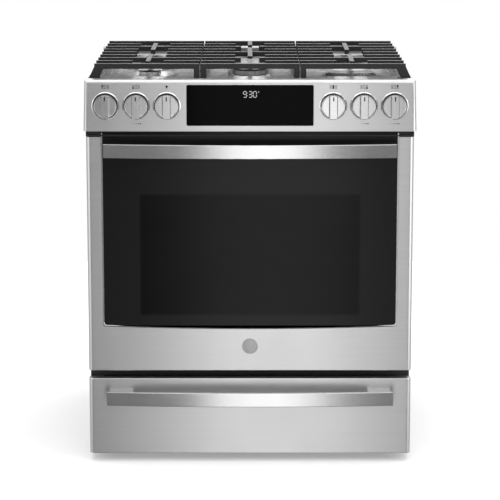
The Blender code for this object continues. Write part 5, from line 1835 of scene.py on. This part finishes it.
@dataclass
class Racks:
    """Two plated wire racks."""

    nodes: tuple[str, ...] = ("rack_lower", "rack_upper")

    def build(self, nodes: Mapping[str, bpy.types.Object]) -> None:
        """Smooth each rack's wires."""
        for name in self.nodes:
            rack = Workpiece.from_node(f"{name}_wires", nodes[name])
            rack.smooth(50).dress(CHROME, name, name)


@dataclass
class Cabinet:
    """The carried-over parts of the cabinet, each with its own finish."""

    dressed: dict[str, Finish] = field(
        default_factory=lambda: {
            "base_pan": ZINC,
            "foot_front_left": RUBBER,
            "foot_front_right": RUBBER,
            "foot_rear_left": RUBBER,
            "foot_rear_right": RUBBER,
            "side_panel_left": PAINT,
            "side_panel_right": PAINT,
            "back_panel": ZINC,
            "power_cord_gland": RUBBER,
            "front_frame": PAINT,
            "oven_liner": ENAMEL,
            "oven_door_seal": FIBRE,
            "bake_burner": FRAME_STEEL,
            "broil_burner": FRAME_STEEL,
            "oven_lamp_lens": LAMP,
            "drawer_rail_left": FRAME_STEEL,
            "drawer_rail_right": FRAME_STEEL,
            "gas_manifold": BRASS,
            **{
                f"valve_sleeve_{site.value}": BRASS
                for site in Site
                if site is not Site.OVEN_LIGHT
            },
        }
    )


def dress_nodes(
    nodes: Mapping[str, bpy.types.Object], finishes: Mapping[str, Finish]
) -> None:
    """Give carried-over CAD nodes their finish.

    Args:
        nodes: Every CAD node by name.
        finishes: The finish of each node to dress.
    """
    for name, finish in finishes.items():
        node = nodes[name]
        node.data.materials.clear()
        node.data.materials.append(finish.material())
        LOG.info("%s: carried over, %s", name, finish.name)


# ------------------------------------------------------------------------- studio


@dataclass
class SoftBox:
    """One soft light."""

    name: str
    place: tuple[float, float, float]
    aim: tuple[float, float, float]
    size: tuple[float, float]
    power: float

    def build(self) -> None:
        """Hang the light and turn it to its aim."""
        lamp = bpy.data.lights.new(self.name, "AREA")
        lamp.shape = "RECTANGLE"
        lamp.size, lamp.size_y = self.size
        lamp.energy = self.power
        thing = bpy.data.objects.new(self.name, lamp)
        bpy.context.scene.collection.objects.link(thing)
        thing.location = self.place
        thing.rotation_euler = (
            (Vector(self.aim) - Vector(self.place)).to_track_quat("-Z", "Y").to_euler()
        )
        thing.visible_camera = False


@dataclass
class Studio:
    """A pale floor, soft lights and the camera."""

    floor_size: float = 4.2
    camera_place: tuple[float, float, float] = (0.0, -5.274, 1.473)
    pitch: float = 10.52
    lens: float = 155.6
    shift: float = -0.036
    surround: float = 0.24
    floor_glow: float = 0.25
    walls: float = 0.5
    wall_reach: tuple[float, float] = (0.35, 0.75)

    def build(self) -> None:
        """Set everything up."""
        self._floor()
        self._surround()
        self._camera()
        for box in (
            SoftBox("key", (0.3, -3.2, 2.8), (0.0, -0.3, 0.6), (2.2, 1.4), 16.0),
            SoftBox("strip", (0.08, -2.1, 0.1), (0.08, 0.0, 0.1), (0.52, 2.2), 4.2),
            SoftBox("wide", (0.10, -2.4, 0.1), (0.10, 0.0, 0.1), (0.85, 2.2), 2.1),
            SoftBox("overhead", (0.0, -0.1, 3.2), (0.0, -0.1, 0.5), (4.0, 3.2), 52.0),
            SoftBox("left", (-2.4, -1.7, 0.7), (-0.38, -0.38, 0.5), (2.6, 2.2), 13.0),
            SoftBox("right", (2.4, -1.7, 0.7), (0.38, -0.38, 0.5), (2.6, 2.2), 26.0),
            SoftBox("rear", (0.5, 3.2, 2.0), (0.0, 0.0, 0.6), (2.6, 1.6), 25.0),
        ):
            box.build()

    def _floor(self) -> None:
        """A plain pale floor with rounded corners."""
        half = self.floor_size / 2
        floor = Workpiece.block(
            "studio_floor", (-half, -half, -0.02), (half, half, 0.0)
        )
        floor.edges(lambda a, b: abs(a.z - b.z) > 0.01).chamfer(1.2, 12).done()
        graph = Graph("studio_floor_paint")
        mottle = graph.noise((1.5, 1.5, 1.5), 3.0)
        floor.thing.data.materials.append(
            graph.close(
                {
                    "Base Color": graph.mix(mottle, 0.9, 0.94),
                    "Roughness": mottle.spread(0.55, 0.65),
                    "Specular IOR Level": 0.2,
                    "Emission Color": graph.mix(mottle, 0.98, 1.0),
                    "Emission Strength": self.floor_glow,
                }
            )
        )
        floor.thing.visible_glossy = False
        floor.thing.visible_shadow = False

    def _surround(self) -> None:
        """Light from all round, dim at eye level and brighter above.

        What the camera sees past the floor is plain white.
        """
        world = bpy.data.worlds.new("studio")
        bpy.context.scene.world = world
        world.use_nodes = True
        tree = world.node_tree
        tree.nodes.clear()

        def add(kind: str, **settings: Any) -> bpy.types.Node:
            """One node of the world, with its settings."""
            node = tree.nodes.new(kind)
            for name, value in settings.items():
                setattr(node, name, value)
            return node

        def rise(source: Any, start: float, end: float, low: float, high: float) -> Any:
            """A value that climbs from low to high as the source goes from start to end."""
            node = add("ShaderNodeMapRange")
            for name, value in zip(
                ("From Min", "From Max", "To Min", "To Max"), (start, end, low, high)
            ):
                node.inputs[name].default_value = value
            tree.links.new(source, node.inputs["Value"])
            return node.outputs[0]

        split = add("ShaderNodeSeparateXYZ")
        tree.links.new(add("ShaderNodeTexCoord").outputs["Generated"], split.inputs[0])
        aside = add("ShaderNodeMath", operation="ABSOLUTE")
        tree.links.new(split.outputs["X"], aside.inputs[0])
        total = add("ShaderNodeMath", operation="ADD")
        glow = rise(split.outputs["Z"], 0.0, 0.7, self.surround, self.surround * 3)
        walls = rise(aside.outputs[0], *self.wall_reach, 0.0, self.walls)
        tree.links.new(glow, total.inputs[0])
        tree.links.new(walls, total.inputs[1])
        soft, white = add("ShaderNodeBackground"), add("ShaderNodeBackground")
        white.inputs["Color"].default_value = (1, 1, 1, 1)
        mix = add("ShaderNodeMixShader")
        for source, target in (
            (total.outputs[0], soft.inputs["Strength"]),
            (add("ShaderNodeLightPath").outputs["Is Camera Ray"], mix.inputs[0]),
            (soft.outputs[0], mix.inputs[1]),
            (white.outputs[0], mix.inputs[2]),
            (mix.outputs[0], add("ShaderNodeOutputWorld").inputs["Surface"]),
        ):
            tree.links.new(source, target)

    def _camera(self) -> None:
        """A long lens at standing height, looking a little down."""
        lens = bpy.data.cameras.new("studio_camera")
        lens.lens = self.lens
        lens.sensor_width = 36.0
        lens.shift_y = self.shift
        camera = bpy.data.objects.new("studio_camera", lens)
        bpy.context.scene.collection.objects.link(camera)
        camera.location = self.camera_place
        camera.rotation_euler = (math.radians(90 - self.pitch), 0.0, 0.0)
        bpy.context.scene.camera = camera
        bpy.context.scene.view_settings.view_transform = "Standard"


def main() -> None:
    """Load the frame, build every sub-assembly and set the studio."""
    logging.basicConfig(level=logging.INFO, format="%(name)s: %(message)s")
    for thing in list(bpy.data.objects):
        bpy.data.objects.remove(thing)
    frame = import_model()
    nodes = frame["nodes"]
    bpy.ops.object.select_all(action="DESELECT")

    knobs, door, drawer, cabinet = KnobSet(), OvenDoor(), StorageDrawer(), Cabinet()
    burners = [
        RoundBurner("rear_left", 20),
        RoundBurner("front_left", 20),
        RoundBurner("front_right", 36, pale_cap=True),
        RoundBurner("rear_right", 28),
    ]
    ControlFascia().build(knobs.places())
    Clock().build()
    knobs.build()
    door.build()
    drawer.build()
    Cooktop().build(burners)
    for burner in burners:
        burner.build()
    OvalBurner().build()
    Grates().build(nodes)
    Racks().build(nodes)
    dress_nodes(nodes, {**cabinet.dressed, **door.dressed, **drawer.dressed})
    Studio().build()


if __name__ == "__main__":
    main()
